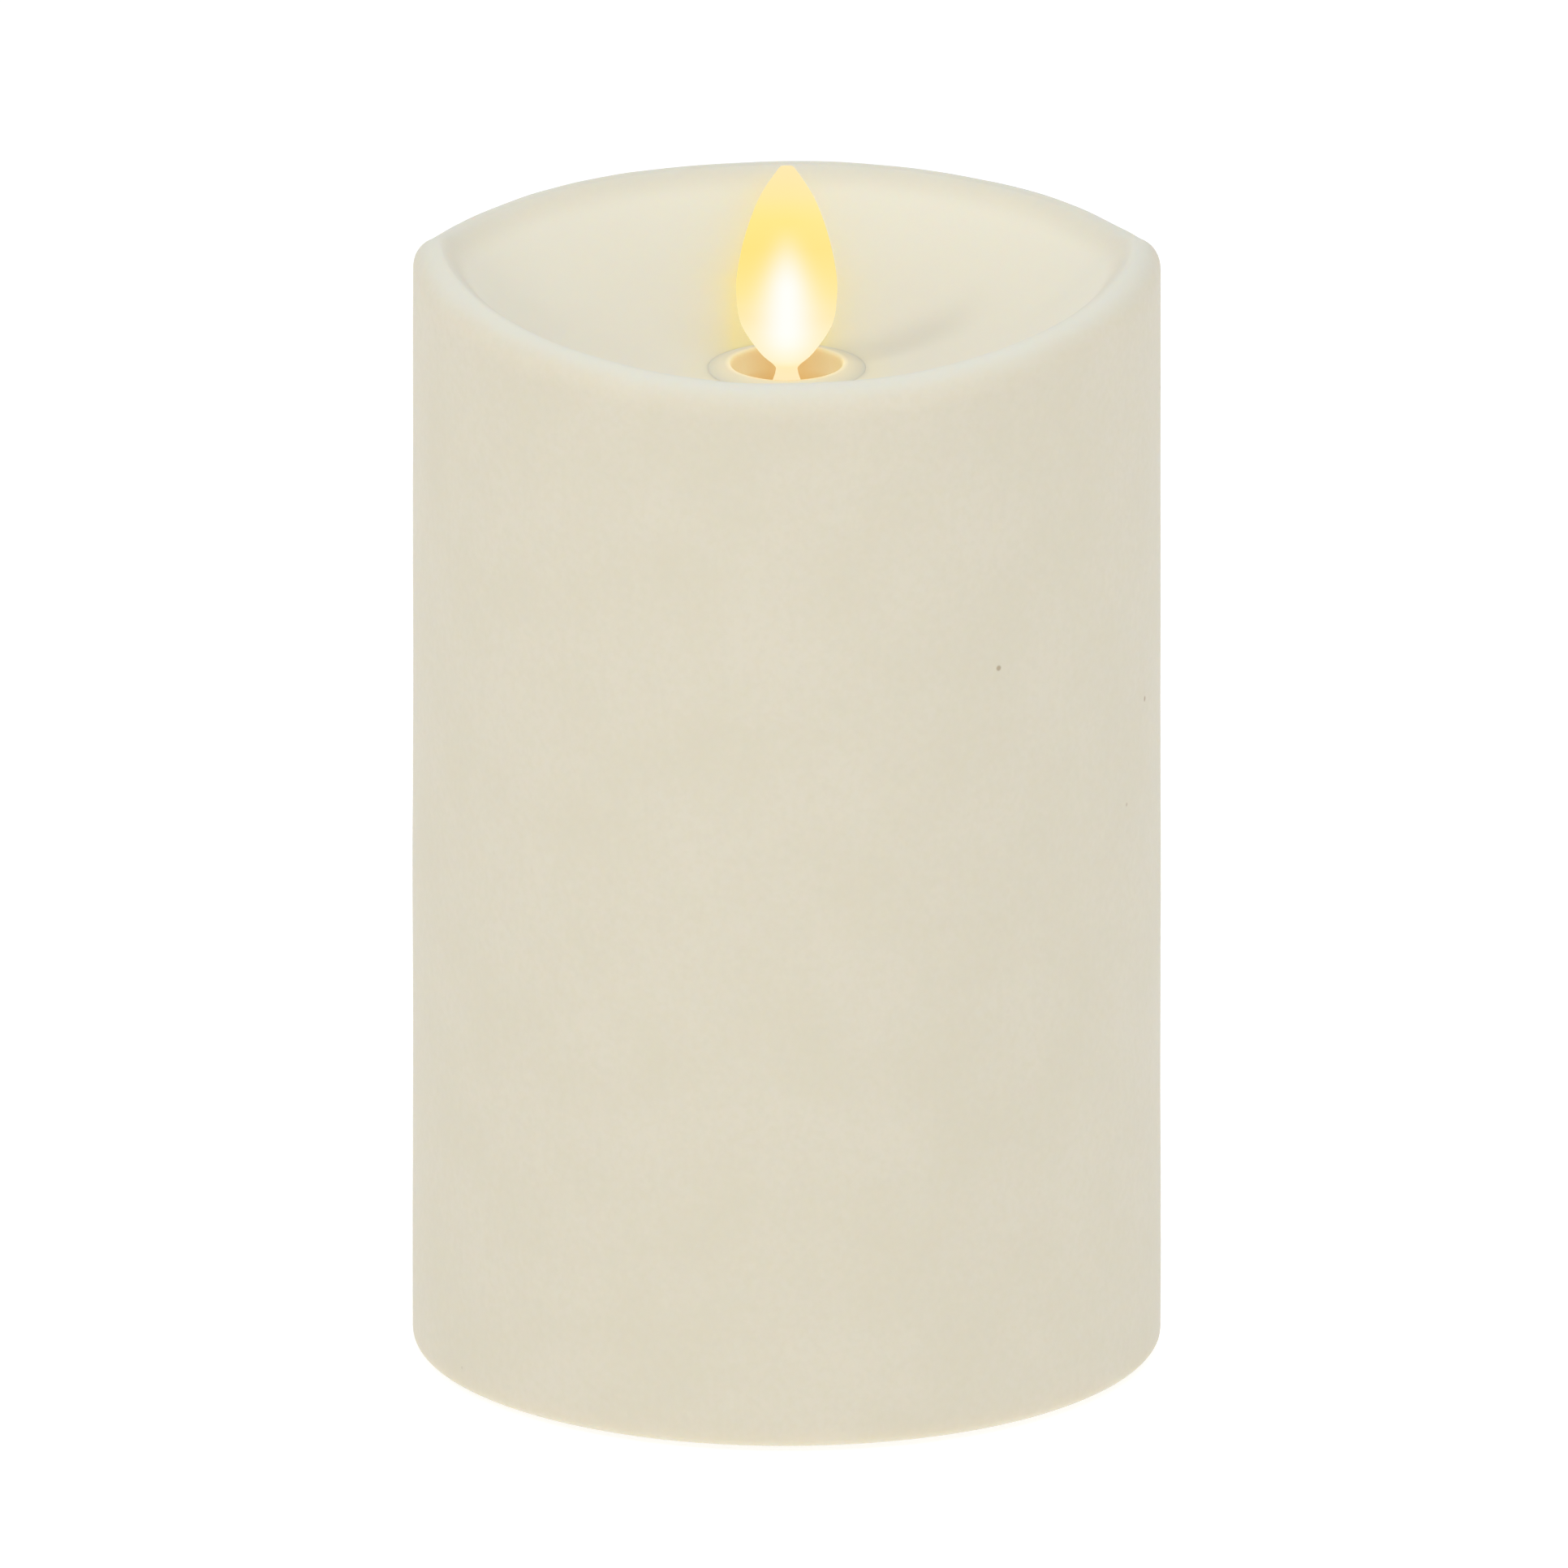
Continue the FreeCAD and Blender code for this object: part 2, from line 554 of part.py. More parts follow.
# ---- core ---------------------------------------------------------------------------------
def core_housing():
    """The plastic cup, open below, that the wax is glued to."""
    cup = cylinder(CORE_R, BASE_TOP_Z, CORE_TOP_Z)
    rim = [e for e in cup.Edges if abs(e.CenterOfMass.z - CORE_TOP_Z) < SAME and len(e.Vertexes) == 1]
    cup = cup.makeFillet(CORE_EDGE, rim)
    cup = cup.cut(cylinder(CORE_IN_R, BASE_TOP_Z, CORE_CEIL_Z))
    shell = ring(CORE_R, CORE_IN_R - BOSS_BITE, BASE_TOP_Z, BASE_TOP_Z + BOSS_H)
    adds = []
    holes = [cylinder(SPOUT_R + SPOUT_GAP, CORE_CEIL_Z, CORE_TOP_Z)]
    for x, y in around(BOSS_ANGLE, BOSS_PCR):
        adds.append(cylinder(BOSS_R, BASE_TOP_Z, BASE_TOP_Z + BOSS_H, x, y))
        depth = BASE_RAISE + BIG_HEAD_H + BIG_SCREW_L + HOLE_SPARE
        holes.append(cylinder(BIG_SCREW_R + THREAD_GAP, BASE_TOP_Z, depth, x, y))
    for x, y in around(POST_ANGLE, POST_PCR):
        adds.append(cylinder(POST_R, BOARD_TOP_Z, CORE_CEIL_Z, x, y))
        depth = BOARD_Z + SMALL_SCREW_L + HOLE_SPARE
        holes.append(cylinder(SMALL_SCREW_R + THREAD_GAP, BOARD_TOP_Z, depth, x, y))
    for side in (-1, 1):
        x = side * (ENGINE_X + MOUNT_OUT)
        adds.append(cylinder(MOUNT_BOSS_R, MOUNT_TOP_Z, CORE_CEIL_Z, x))
        depth = MOUNT_TOP_Z - MOUNT_T + SMALL_SCREW_L + MOUNT_HOLE_SPARE
        holes.append(cylinder(SMALL_SCREW_R + THREAD_GAP, MOUNT_TOP_Z, depth, x))
    bosses = Part.makeCompound(adds).common(cylinder(CORE_R - CORE_WALL / 2, 0, CORE_TOP_Z))
    return cup.multiFuse(bosses.Solids).cut(Part.makeCompound(holes))


def flame_collar():
    """The ring round the flame's neck: a tube through the wax that stands on the core."""
    top = FLOOR_Z + COLLAR_PROUD
    tube_part = cylinder(COLLAR_R, CORE_TOP_Z, top)
    spout = cylinder(SPOUT_R, CORE_CEIL_Z, CORE_TOP_Z)
    whole = tube_part.fuse(spout).cut(cylinder(COLLAR_BORE_R, CORE_CEIL_Z, top))
    crest = [e for e in whole.Edges if abs(e.CenterOfMass.z - top) < SAME and len(e.Vertexes) == 1]
    return whole.makeFillet(min(COLLAR_ROUND, COLLAR_ROUND_MAX * COLLAR_WALL), crest)


def glue_beads():
    """Beads of hot glue that hold the wax to the core."""
    whole = ring(BORE_R, CORE_R, CORE_TOP_Z - CORE_EDGE - GLUE_H, CORE_TOP_Z - CORE_EDGE)
    wedge = Part.makeCylinder(BORE_R + CUT_PAST, PILLAR_H, V(0, 0, 0), V(0, 0, 1), GLUE_W)
    beads = []
    for quarter in range(4):
        piece = wedge.copy()
        piece.rotate(V(0, 0, 0), V(0, 0, 1), 90 * quarter - GLUE_W / 2)
        beads.append(whole.common(piece))
    return beads


# ---- base ---------------------------------------------------------------------------------
def foot_places():
    """Where the rubber feet stand."""
    return around(FOOT_ANGLE, BASE_R - FOOT_EDGE_MARGIN - FOOT_R)


def box_ear_places():
    """Two ears of the battery box, one beyond each bay."""
    turn = math.radians(BOX_EAR_ANGLE)
    x = BAY_X + BOX_EAR_OFFSET * math.cos(turn)
    y = BOX_EAR_OFFSET * math.sin(turn)
    return [(x, y), (-x, -y)]


def screw_seat(x, y):
    """What the base plate loses round one of its screws."""
    head = cylinder(BIG_HEAD_R + HEAD_GAP, BASE_RAISE, BASE_RAISE + BIG_HEAD_H, x, y)
    shank = cylinder(BIG_SCREW_R + SCREW_GAP, BASE_RAISE, BASE_TOP_Z, x, y)
    return head.fuse(shank)


def base_plate():
    """The disc that closes the pillar, with the battery opening, hinge ears and switch slot."""
    plate = cylinder(BASE_R, BASE_RAISE, BASE_TOP_Z)
    spigot_r = CORE_IN_R - SPIGOT_GAP
    spigot = ring(spigot_r, spigot_r - SPIGOT_T, BASE_TOP_Z, BASE_TOP_Z + SPIGOT_H)
    room = [
        cylinder(BOSS_R + SPIGOT_GAP, BASE_TOP_Z, BASE_TOP_Z + SPIGOT_H, x, y)
        for x, y in around(BOSS_ANGLE, BOSS_PCR)
    ]
    spigot = spigot.cut(Part.makeCompound(room))
    ears = []
    for side in (-1, 1):
        inner = HINGE_W / 2 + NOTCH_GAP
        start = side * inner if side > 0 else -inner - EAR_W
        barrel = across(KNUCKLE_R, EAR_W, start, HINGE_Y, HINGE_Z)
        foot = block(start + EAR_W / 2, HINGE_Y, EAR_W / 2, KNUCKLE_R, BASE_TOP_Z - BASE_T / 2, HINGE_Z)
        ears += [barrel, foot]
    solid = plate.multiFuse(ears + switch_clips() + spigot.Solids)
    notch_half = HINGE_W / 2 + NOTCH_GAP
    back = HINGE_Y - KNUCKLE_R - NOTCH_GAP
    holes = [
        obround(BAY_X, OPENING_R, BASE_RAISE, BASE_TOP_Z),
        box(-notch_half, notch_half, back, 0, BASE_RAISE, BASE_TOP_Z),
        across(PIN_R + PIN_HOLD_GAP, pin_length(), -pin_length() / 2, HINGE_Y, HINGE_Z),
        knob_pocket(),
        stem_slot(),
    ]
    holes += [cylinder(FOOT_R, BASE_RAISE, BASE_RAISE + FOOT_SINK, x, y) for x, y in foot_places()]
    holes += [screw_seat(x, y) for x, y in around(BOSS_ANGLE, BOSS_PCR) + box_ear_places()]
    thumb = Part.makeSphere(THUMB_R, V(0, OPENING_R, BASE_RAISE - THUMB_R + THUMB_DEPTH))
    return solid.cut(Part.makeCompound(holes)).cut(thumb)


def pin_length():
    """The hinge pin ends flush with the outer faces of its ears."""
    return HINGE_W + 2 * (NOTCH_GAP + EAR_W)


def rubber_feet():
    """Four round pads."""
    return [cylinder(FOOT_R, 0, BASE_RAISE + FOOT_SINK, x, y) for x, y in foot_places()]


def base_screws():
    """The screws from the base plate into the core."""
    height = BASE_RAISE + BIG_HEAD_H
    return [along(big_screw(), V(x, y, height), V(0, 0, 1)) for x, y in around(BOSS_ANGLE, BOSS_PCR)]


def box_screws():
    """The screws from the base plate into the battery box."""
    height = BASE_RAISE + BIG_HEAD_H
    return [along(big_screw(), V(x, y, height), V(0, 0, 1)) for x, y in box_ear_places()]


# ---- cells --------------------------------------------------------------------------------
def battery_box():
    """Two tubes side by side with one roof, open below."""
    tubes = [cylinder(BAY_OUT_R, BASE_TOP_Z, BOX_TOP_Z, s * BAY_X) for s in (-1, 1)]
    web = block(0, 0, BAY_X / 2, BOX_WEB_Y, BASE_TOP_Z, BOX_TOP_Z)
    adds = [tubes[1], web]
    holes = []
    for s, (x, y) in zip((1, -1), box_ear_places()):
        adds.append(cylinder(BOX_EAR_R, BASE_TOP_Z, BASE_TOP_Z + BOX_EAR_H, x, y))
        middle = BOX_EAR_OFFSET / 2
        rib = block(middle, 0, middle, BOX_RIB_HALF_T, BASE_TOP_Z, BASE_TOP_Z + BOX_EAR_H)
        rib.rotate(V(0, 0, 0), V(0, 0, 1), BOX_EAR_ANGLE + (0 if s > 0 else 180))
        rib.translate(V(s * BAY_X, 0, 0))
        adds.append(rib)
        depth = BASE_RAISE + BIG_HEAD_H + BIG_SCREW_L + EAR_HOLE_SPARE
        holes.append(cylinder(BIG_SCREW_R + THREAD_GAP, BASE_TOP_Z, depth, x, y))
    holes += [cylinder(BAY_R, BASE_TOP_Z, CEILING_Z, s * BAY_X) for s in (-1, 1)]
    notch = block(0, 0, BAY_X, BRIDGE_W / 2 + NOTCH_H, BASE_TOP_Z, BRIDGE_TOP_Z + STAKE_PROUD + NOTCH_H)
    holes.append(notch)
    slot = TAB_SLOT_GAP
    for s in (-1, 1):
        holes.append(block(tab_x(s), 0, CONTACT_T / 2 + slot, TAB_W / 2 + slot, CEILING_Z, BOX_TOP_Z))
    return tubes[0].multiFuse(adds).cut(Part.makeCompound(holes))


def tab_x(side):
    """Where a top contact's solder tab rises through the roof."""
    return side * (BAY_X + CONTACT_W / 2 - CONTACT_T / 2)


def cell(x, low, nub_up):
    """A C cell's can with its positive nub."""
    can_r = CELL_D / 2 - CELL_SLEEVE
    body = CELL_L - CELL_NUB_H
    outline = [
        (0, 0), (can_r - CELL_RIM, 0), (can_r, CELL_RIM), (can_r, body - CELL_RIM),
        (can_r - CELL_RIM, body), (CELL_NUB_R + CELL_GROOVE_OUT, body),
        (CELL_NUB_R + CELL_GROOVE_IN, body - CELL_GROOVE_DEPTH),
        (CELL_NUB_R, body - CELL_GROOVE_DEPTH), (CELL_NUB_R, CELL_L - CELL_NUB_EDGE),
        (CELL_NUB_R - CELL_NUB_EDGE, CELL_L), (0, CELL_L),
    ]
    solid = turned(outline)
    if not nub_up:
        solid.rotate(V(0, 0, CELL_L / 2), V(1, 0, 0), 180)
    solid.translate(V(x, 0, low))
    return solid


def sleeve(x, low, nub_up):
    """The shrink sleeve round a cell's straight wall."""
    can_r = CELL_D / 2 - CELL_SLEEVE
    start = CELL_RIM if nub_up else CELL_NUB_H + CELL_RIM
    length = CELL_L - CELL_NUB_H - 2 * CELL_RIM
    return ring(CELL_D / 2, can_r, low + start, low + start + length, x)


def top_contact(side, low):
    """A flat contact on the roof of a bay, with a tab up through it."""
    plate = block(side * BAY_X, 0, CONTACT_W / 2, CONTACT_L / 2, low, low + CONTACT_T)
    tab = block(tab_x(side), 0, CONTACT_T / 2, TAB_W / 2, low, BOX_TOP_Z + TAB_H)
    return plate.fuse(tab)


# ---- door ---------------------------------------------------------------------------------
def battery_door():
    """The door: a plate with a hinge knuckle, a latch tongue, and a ribbed thumb grip."""
    plate = obround(BAY_X, DOOR_R, DOOR_Z, DOOR_TOP_Z)
    plate = plate.cut(block(0, -DOOR_R, 2 * BAY_X, HINGE_TRIM, DOOR_Z, DOOR_TOP_Z))
    knuckle = across(KNUCKLE_R, HINGE_W, -HINGE_W / 2, HINGE_Y, HINGE_Z)
    arm = box(-HINGE_W / 2, HINGE_W / 2, HINGE_Y, -DOOR_R / 2, DOOR_Z, DOOR_TOP_Z)
    half = LATCH_HALF_W
    top = DOOR_TOP_Z + LATCH_H
    hook_y = LATCH_Y + LATCH_T
    latch = box(-half, half, LATCH_Y, hook_y, DOOR_TOP_Z, top)
    hook = box(-half, half, hook_y, hook_y + LATCH_HOOK, top - LATCH_T, top)
    solid = plate.multiFuse([knuckle, arm, latch, hook] + door_stakes())
    cuts = [across(PIN_R + PIN_RUN_GAP, HINGE_W, -HINGE_W / 2, HINGE_Y, HINGE_Z)]
    for side in (-1, 1):
        slit = side * (half + SLIT_W / 2)
        cuts.append(block(slit, DOOR_R, SLIT_W / 2, SLIT_L, DOOR_Z, DOOR_TOP_Z))
    for i in range(1, GRIP_RIBS + 1):
        y = DOOR_R - i * GRIP_PITCH
        cuts.append(block(0, y, half - SLIT_W, GRIP_PITCH / 4, DOOR_Z, DOOR_Z + GRIP_H))
    return solid.cut(Part.makeCompound(cuts))


def door_stakes():
    """Two stakes on the door that hold the bridge."""
    top = BRIDGE_TOP_Z + STAKE_PROUD
    return [cylinder(STAKE_R, DOOR_TOP_Z, top, s * STAKE_X) for s in (-1, 1)]


def door_bridge():
    """The strip on the door that joins one cell's nub to the other's spring."""
    strip = block(0, 0, BAY_X + CONTACT_W / 2, BRIDGE_W / 2, DOOR_TOP_Z, BRIDGE_TOP_Z)
    return strip.cut(Part.makeCompound(door_stakes()))


def door_hinge_pin():
    """The steel pin through the ears and the knuckle."""
    return across(PIN_R, pin_length(), -pin_length() / 2, HINGE_Y, HINGE_Z)


# ---- switch -------------------------------------------------------------------------------
def lever_x():
    """The lever stands at one end of its travel, which is on."""
    return -SWITCH_TRAVEL / 2


def knob_pocket():
    """The hollow under the base plate in which the knob slides."""
    half_x = (KNOB_L + SWITCH_TRAVEL) / 2 + KNOB_GAP
    return block(0, SWITCH_Y, half_x, KNOB_W / 2 + KNOB_GAP, BASE_RAISE, BASE_RAISE + KNOB_POCKET)


def stem_slot():
    """The slot that the lever's stem passes through."""
    half_x = (STEM_L + SWITCH_TRAVEL) / 2 + KNOB_GAP
    return block(0, SWITCH_Y, half_x, STEM_W / 2 + KNOB_GAP, BASE_RAISE, BASE_TOP_Z)


def switch_clips():
    """Two moulded hooks on the base plate that hold the switch by its ends."""
    low = BASE_TOP_Z
    top = BASE_TOP_Z + SWITCH_H + CLIP_GAP
    near = SWITCH_L / 2 + CLIP_GAP
    hooks = []
    for side in (-1, 1):
        post = block(side * (near + CLIP_T / 2), SWITCH_Y, CLIP_T / 2, CLIP_W / 2, low, top + CLIP_T)
        nose = block(side * near, SWITCH_Y, CLIP_T, CLIP_W / 2, top, top + CLIP_T)
        hooks += [post, nose]
    return hooks


def switch_body():
    """The switch's metal can, hollow where its carriage slides."""
    can = block(0, SWITCH_Y, SWITCH_L / 2, SWITCH_W / 2, BASE_TOP_Z, BASE_TOP_Z + SWITCH_H)
    hollow_x = (CARRIAGE_L + SWITCH_TRAVEL) / 2 + KNOB_GAP
    hollow_y = SWITCH_W / 2 - SWITCH_WALL
    low = BASE_TOP_Z + SWITCH_WALL
    hollow = block(0, SWITCH_Y, hollow_x, hollow_y, low, low + CARRIAGE_H + KNOB_GAP)
    slot_x = (STEM_L + SWITCH_TRAVEL) / 2 + KNOB_GAP
    slot = block(0, SWITCH_Y, slot_x, STEM_W / 2 + KNOB_GAP, BASE_TOP_Z, low)
    return can.cut(hollow.fuse(slot))


def switch_lever():
    """The carriage inside the switch and the stem down to the knob."""
    low = BASE_TOP_Z + SWITCH_WALL + KNOB_GAP / 2
    half_y = SWITCH_W / 2 - SWITCH_WALL - KNOB_GAP / 2
    carriage = block(lever_x(), SWITCH_Y, CARRIAGE_L / 2, half_y, low, low + CARRIAGE_H)
    stem_z = BASE_RAISE + KNOB_POCKET - KNOB_GAP / 2 - KNOB_T / 2
    stem = block(lever_x(), SWITCH_Y, STEM_L / 2, STEM_W / 2, stem_z, low)
    return carriage.fuse(stem)


def switch_knob():
    """The ribbed cap pressed on the stem, inside its pocket."""
    top = BASE_RAISE + KNOB_POCKET - KNOB_GAP / 2
    cap = block(lever_x(), SWITCH_Y, KNOB_L / 2, KNOB_W / 2, top - KNOB_T, top)
    face = top - KNOB_T
    half_y = KNOB_W / 2 - KNOB_RIB_H
    ribs = []
    for step in (-1, 0, 1):
        x = lever_x() + step * KNOB_RIB_PITCH
        ribs.append(block(x, SWITCH_Y, KNOB_RIB_HALF_W, half_y, face - KNOB_RIB_H, face))
    socket = block(lever_x(), SWITCH_Y, STEM_L / 2, STEM_W / 2, top - KNOB_T / 2, top)
    return cap.multiFuse(ribs).cut(socket)


def terminal_places():
    """X of each solder terminal on the switch."""
    first = -TERMINAL_PITCH * (TERMINALS - 1) / 2
    return [first + i * TERMINAL_PITCH for i in range(TERMINALS)]


def switch_terminals():
    """The solder terminals on top of the switch."""
    low = BASE_TOP_Z + SWITCH_H
    return [
        block(x, SWITCH_Y, TERMINAL_HALF_W, TERMINAL_HALF_T, low, low + TERMINAL_H)
        for x in terminal_places()
    ]


# ---- flame and pendulum -------------------------------------------------------------------
def flame_outline():
    """The flame's flank from tip to neck, as (half width, height)."""
    half = FLAME_W / 2
    neck = NECK_W / 2
    flank = [(half * width, FLOOR_Z + FLAME_H * height) for width, height in FLAME_FLANK]
    return flank + [(neck * NECK_FLARE, FLOOR_Z + NECK_DROP), (neck, FLOOR_Z - NECK_DROP)]


def flame_paddle():
    """One moulding: the flame, its neck, the eye on the wire, the tail and the magnet's cup."""
    flank = [V(x, 0, z) for x, z in flame_outline()]
    mirrored = [V(-p.x, 0, p.z) for p in reversed(flank)]
    right = Part.BSplineCurve()
    right.interpolate(flank)
    left = Part.BSplineCurve()
    left.interpolate(mirrored)
    tip = Part.Arc(mirrored[-1], V(0, 0, FLOOR_Z + FLAME_H), flank[0]).toShape()
    close = Part.LineSegment(flank[-1], mirrored[0]).toShape()
    face = Part.Face(Part.Wire([tip, right.toShape(), close, left.toShape()]))
    thick = FLAME_T / 2
    slab = face.extrude(V(0, FLAME_T, 0))
    slab.translate(V(0, -thick, 0))
    belly = FLOOR_Z + FLAME_H * FLAME_BELLY
    side = [
        V(0, -thick, FLOOR_Z - NECK_DROP), V(0, -thick, belly),
        V(0, -FLAME_TIP_T / 2, FLOOR_Z + FLAME_H), V(0, FLAME_TIP_T / 2, FLOOR_Z + FLAME_H),
        V(0, thick, belly), V(0, thick, FLOOR_Z - NECK_DROP),
    ]
    wedge = Part.Face(Part.makePolygon(side + side[:1])).extrude(V(FLAME_W, 0, 0))
    wedge.translate(V(-FLAME_W / 2, 0, 0))
    flame = slab.common(wedge)
    arm = block(0, 0, NECK_W / 2, thick, PIVOT_Z, FLOOR_Z - NECK_DROP)
    eye = Part.makeCylinder(PIVOT_BOSS_R, FLAME_T, V(0, -thick, PIVOT_Z), V(0, 1, 0))
    tail = block(0, 0, TAIL_W / 2, thick, MAGNET_TOP_Z, PIVOT_Z)
    cup = cylinder(MAGNET_R + CUP_WALL, MAGNET_TOP_Z - CUP_H, MAGNET_TOP_Z + CUP_WALL)
    cup = cup.cut(cylinder(MAGNET_R, MAGNET_TOP_Z - CUP_H, MAGNET_TOP_Z))
    hole = Part.makeCylinder(WIRE_R + PIVOT_GAP, FLAME_T * 2, V(0, -FLAME_T, PIVOT_Z), V(0, 1, 0))
    return flame.multiFuse([arm, eye, tail, cup]).cut(hole)


def pendulum_magnet():
    """The disc magnet in the tail's cup."""
    return cylinder(MAGNET_R, MAGNET_TOP_Z - MAGNET_H, MAGNET_TOP_Z)


def pivot_wire():
    """The steel wire that the paddle hangs on."""
    reach = CROSS_IN + CROSS_T + WIRE_OVERHANG
    return Part.makeCylinder(WIRE_R, 2 * reach, V(0, -reach, PIVOT_Z), V(0, 1, 0))


# ---- light engine -------------------------------------------------------------------------
def lamp_axis(side):
    """(tip, direction) of a lamp. Side -1 is the front lamp and 1 the rear one."""
    tip = V(0, side * LED_TIP_Y, FLOOR_Z - LED_TIP_DROP)
    target = V(0, 0, FLOOR_Z + LED_AIM)
    return tip, (target - tip).normalize()


def lamp(side):
    """A round-topped lamp with a flange at its back."""
    tip, direction = lamp_axis(side)
    body = cylinder(LED_R, 0, LED_L - LED_R).fuse(Part.makeSphere(LED_R, V(0, 0, LED_L - LED_R)))
    body = body.common(cylinder(LED_FLANGE_R, 0, LED_L))
    whole = body.fuse(cylinder(LED_FLANGE_R, 0, LED_FLANGE_T)).removeSplitter()
    return along(whole, tip - direction * LED_L, direction)


def lamp_room(side):
    """The space that the engine leaves round a lamp and behind it."""
    tip, direction = lamp_axis(side)
    bore = cylinder(LED_R + LED_GAP, 0, 2 * LED_L)
    behind = cylinder(LED_FLANGE_R + LED_GAP, -LED_L, LED_FLANGE_T + LED_GAP)
    return along(bore.fuse(behind), tip - direction * LED_L, direction)


def lamp_leads():
    """Two leads from the back of each lamp, bent to point down."""
    leads = []
    for side in (-1, 1):
        tip, direction = lamp_axis(side)
        back = tip - direction * LED_L
        turn = back - direction * LEAD_STUB
        end = V(0, turn.y, turn.z - LEAD_DROP)
        for x in (-LEAD_PITCH / 2, LEAD_PITCH / 2):
            leads.append(tube([(x, p.y, p.z) for p in (back, turn, end)], LEAD_R))
    return leads


def lead_end(side):
    """Where a lamp's leads end and its wires begin."""
    tip, direction = lamp_axis(side)
    turn = tip - direction * (LED_L + LEAD_STUB)
    return turn.y, turn.z - LEAD_DROP


def lug_places():
    """(y, z) of the lugs that hold the engine's halves together."""
    y = ENGINE_Y + LUG_OUT
    low = ENGINE_Z + LUG_LOW
    high = PIVOT_Z - LUG_HIGH
    return [(-y, low), (y, low), (-y, high), (y, high)]


def engine():
    """The light engine in one piece, before it is split down the middle."""
    shell = block(0, 0, ENGINE_X, ENGINE_Y, ENGINE_Z, ENGINE_TOP_Z)
    inside_x = ENGINE_X - ENGINE_WALL
    inside_y = ENGINE_Y - ENGINE_WALL
    shell = shell.cut(block(0, 0, inside_x, inside_y, ENGINE_Z + ENGINE_FLOOR, ENGINE_TOP_Z))
    adds = [cylinder(COIL_BORE_R - PEG_GAP, ENGINE_Z, COIL_Z + COIL_H / 2)]
    cuts = []
    for side in (-1, 1):
        near, far = sorted((side * CROSS_IN, side * (CROSS_IN + CROSS_T)))
        adds.append(box(-inside_x, inside_x, near, far, PIVOT_Z - CROSS_DROP, ENGINE_TOP_Z))
        near, far = sorted((side * CROSS_IN, side * LED_BLOCK_OUT))
        adds.append(box(-LED_BLOCK_X, LED_BLOCK_X, near, far, ENGINE_TOP_Z - LED_BLOCK_H, ENGINE_TOP_Z))
        cuts.append(lamp_room(side))
        low = BOARD_Z - WINDOW_H - WINDOW_DROP
        deep = ENGINE_WALL * WALL_CUT
        cuts.append(block(0, side * ENGINE_Y, LED_BLOCK_X, deep, low, low + WINDOW_H))
        ear_x = side * (ENGINE_X + MOUNT_OUT)
        half = MOUNT_OUT + MOUNT_BOSS_R - MOUNT_TRIM
        near, far = sorted((side * (ENGINE_X - ENGINE_WALL), side * (ENGINE_X + half)))
        adds.append(box(near, far, -MOUNT_W / 2, MOUNT_W / 2, MOUNT_TOP_Z - MOUNT_T, MOUNT_TOP_Z))
        cuts.append(cylinder(SMALL_SCREW_R + SCREW_GAP, MOUNT_TOP_Z - MOUNT_T, MOUNT_TOP_Z, ear_x))
    for y, z in lug_places():
        adds.append(across(LUG_R, 2 * LUG_HALF_L, -LUG_HALF_L, y, z))
        near, far = sorted((y, math.copysign(ENGINE_Y - ENGINE_WALL / 2, y)))
        adds.append(box(-LUG_HALF_L, LUG_HALF_L, near, far, z - LUG_R, z + LUG_R))
        cuts.append(across(SMALL_SCREW_R + SCREW_GAP, LUG_HALF_L, -LUG_HALF_L, y, z))
        cuts.append(across(SMALL_SCREW_R + THREAD_GAP, LUG_HALF_L, 0, y, z))
    reach = CROSS_IN + CROSS_T + CUT_PAST
    cuts.append(Part.makeCylinder(WIRE_R + THREAD_GAP, 2 * reach, V(0, -reach, PIVOT_Z), V(0, 1, 0)))
    for side in (-1, 1):
        x = side * COIL_WIRE_X
        cuts.append(block(x, ENGINE_Y, COIL_WINDOW_HALF_W, deep, COIL_Z, COIL_Z + WINDOW_H))
    return shell.multiFuse(adds).cut(Part.makeCompound(cuts))


def engine_half(side):
    """The half of the engine on one side of X 0."""
    far = ENGINE_X + MOUNT_OUT + MOUNT_BOSS_R + CUT_PAST
    near, end = sorted((0, side * far))
    reach = 2 * ENGINE_Y
    low, high = ENGINE_Z - CUT_PAST, ENGINE_TOP_Z + CUT_PAST
    return engine().common(box(near, end, -reach, reach, low, high))


def engine_screws():
    """The screws through the lugs, heads on the left."""
    return [along(small_screw(), V(-LUG_HALF_L, y, z), V(1, 0, 0)) for y, z in lug_places()]


def mount_screws():
    """The screws that hang the engine from the core."""
    height = MOUNT_TOP_Z - MOUNT_T
    return [along(small_screw(), V(s * (ENGINE_X + MOUNT_OUT), 0, height), V(0, 0, 1)) for s in (-1, 1)]


def coil_bobbin():
    """The spool under the magnet."""
    hub = ring(COIL_HUB_R, COIL_BORE_R, COIL_Z, COIL_TOP_Z)
    low = ring(COIL_R, COIL_BORE_R, COIL_Z, COIL_Z + COIL_FLANGE)
    high = ring(COIL_R, COIL_BORE_R, COIL_TOP_Z - COIL_FLANGE, COIL_TOP_Z)
    return hub.multiFuse([low, high]).removeSplitter()


def coil_winding():
    """The copper on the spool."""
    return ring(COIL_R - COIL_FILL, COIL_HUB_R, COIL_Z + COIL_FLANGE, COIL_TOP_Z - COIL_FLANGE)


